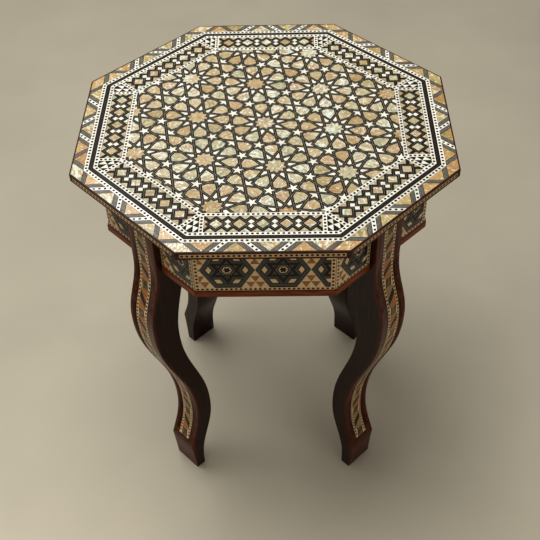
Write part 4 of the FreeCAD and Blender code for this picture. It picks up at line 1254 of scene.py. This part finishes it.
two_woods = make_two_woods()
LEG_GROUPS = [
    ("leg_strip_tiles", "leg_tiles", two_woods, "brown_wood"),
    ("leg_strip_blocks", "leg_blocks", warm_shaded_bone, "brown_wood"),
    ("leg_strip_straps", "leg_straps", black_wood, "ebony"),
    ("leg_strip_strings", "leg_strings", leg_ivory, "dotted_string"),
]
for seed, (name, node, material, slot) in enumerate(LEG_GROUPS, start=95):
    smoothed(add_piece(name, merged(node), material, slot, [node], seed))

# %% [markdown]
# ## Under the top
# The boards, blocks and battens are plain wood that nobody was meant to see, and their nodes are right as
# they are. Only their materials change. The grain of each apron board runs along it, so each direction of
# board has its own turn of the pattern.

# %% Boards and blocks
SIDES = ["front", "front_right", "right", "back_right", "back", "back_left", "left", "front_left"]
STAINED = ((34, 20, 13), (56, 34, 22), (78, 48, 31))


def finish_node(name, material):
    slots = nodes[name].data.materials
    slots.clear()
    slots.append(material)


for number, side in enumerate(SIDES):
    stained = make_wood(
        "stained_board_" + side, STAINED, on_tiles=False, stretch=(0.03, 0.9, 0.9),
        roughness=0.55, coat=0.3, turn=-number * EIGHTH)
    finish_node("apron_board_" + side, stained)
for name in ("top_board", "corner_blocks", "top_battens"):
    finish_node(name, raw_wood)
print("boards:", len(SIDES), "stained")

# %% [markdown]
# The screws are zinc-plated steel with fine brushing.

# %% Screws
def make_steel():
    material, tree, shader = new_material("zinc_plated_steel")
    shader.inputs["Metallic"].default_value = 1.0
    brushing = noise(tree, object_millimetres(tree), 2.0, 3)
    colour = tones(tree, brushing, ((150, 150, 146), (186, 186, 180)), (0.3, 0.7))
    paint(tree, shader, colour, between(tree, brushing, 0.25, 0.45))
    return material


steel = make_steel()
for name in ("leg_screws", "batten_screws"):
    finish_node(name, steel)
print("screws:", steel.name)

# %% [markdown]
# ## Room and floor
# The world gives a low even light, but the camera and the varnish see a pale room. Light Path tells the two
# kinds of ray apart.

# %% Room
ROOM_LIGHT = (0.86, 0.83, 0.77, 1.0)
ROOM_STRENGTH = 0.2
ROOM_SEEN = rgb(184, 176, 154)


def seen_rays(tree, kinds):
    path = add(tree, "LightPath")
    total = path.outputs[kinds[0]]
    for kind in kinds[1:]:
        total = sums(tree, "MAXIMUM", total, path.outputs[kind])
    return total


world = bpy.data.worlds.new("room")
world.use_nodes = True
tree = world.node_tree
lighting = tree.nodes["Background"]
lighting.inputs["Color"].default_value = ROOM_LIGHT
lighting.inputs["Strength"].default_value = ROOM_STRENGTH
seen = add(tree, "Background", {"Color": ROOM_SEEN, "Strength": 1.0})
rays = seen_rays(tree, ["Is Camera Ray", "Is Glossy Ray", "Is Transmission Ray"])
choice = add(tree, "MixShader", {0: rays, 1: lighting.outputs[0], 2: seen.outputs[0]})
feed(tree, choice.outputs[0], tree.nodes["World Output"].inputs["Surface"])
bpy.context.scene.world = world
print("room light:", ROOM_STRENGTH)

# %% [markdown]
# The floor is a wide disc. Near the stool it takes light and shadow, and further out it fades into the
# room's colour for the camera, so that no horizon shows. It is darker towards the back, where the lamp
# hangs, so that it ends about evenly bright.

# %% Floor
FLOOR_RADIUS = 12.0
FLOOR_BRIGHT_Y = -450.0
FLOOR_DIM_Y = 100.0
FLOOR_DIM = 0.6
FADE_START = 800.0
FADE_END = 2300.0


def make_floor_material():
    material, tree, shader = new_material("pale_floor", 0.8)
    place = object_millimetres(tree)
    cloud = noise(tree, place, 0.004, 3)
    colour = tones(tree, cloud, ((216, 206, 181), (230, 219, 193)), (0.3, 0.7))
    level = add(tree, "SeparateXYZ", {0: place}).outputs["Y"]
    back = add(tree, "MapRange", {"Value": level, "From Min": FLOOR_BRIGHT_Y, "From Max": FLOOR_DIM_Y})
    shade = greys(tree, back.outputs["Result"], (0.0, 1.0), (1.0, FLOOR_DIM))
    paint(tree, shader, tinted(tree, colour, shade))
    distance = add(tree, "VectorMath", {0: place}, operation="LENGTH").outputs["Value"]
    fade = {"Value": distance, "From Min": FADE_START, "From Max": FADE_END}
    far = add(tree, "MapRange", fade, interpolation_type="SMOOTHSTEP")
    seen = seen_rays(tree, ["Is Camera Ray", "Is Glossy Ray"])
    faded = sums(tree, "MULTIPLY", far.outputs["Result"], seen)
    room = add(tree, "Emission", {"Color": ROOM_SEEN, "Strength": 1.0})
    choice = add(tree, "MixShader", {0: faded, 1: shader.outputs[0], 2: room.outputs[0]})
    feed(tree, choice.outputs[0], tree.nodes["Material Output"].inputs["Surface"])
    return material


bm = bmesh.new()
bmesh.ops.create_circle(bm, cap_ends=True, segments=96, radius=FLOOR_RADIUS)
mesh = as_mesh("floor", bm)
mesh.materials.append(make_floor_material())
floor = show(bpy.data.objects.new("floor", mesh))
floor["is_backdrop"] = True

# %% [markdown]
# ## Sizes
# The dressed stool has to stay inside the box of its solids.

# %% Print the sizes and finish
visual_low, visual_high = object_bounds()
boxes = {
    "cad": [list(cad_low), list(cad_high)],
    "visual": [list(visual_low), list(visual_high)],
}
for name, corners in boxes.items():
    print(name, "box:", [round(value, 5) for corner in corners for value in corner])
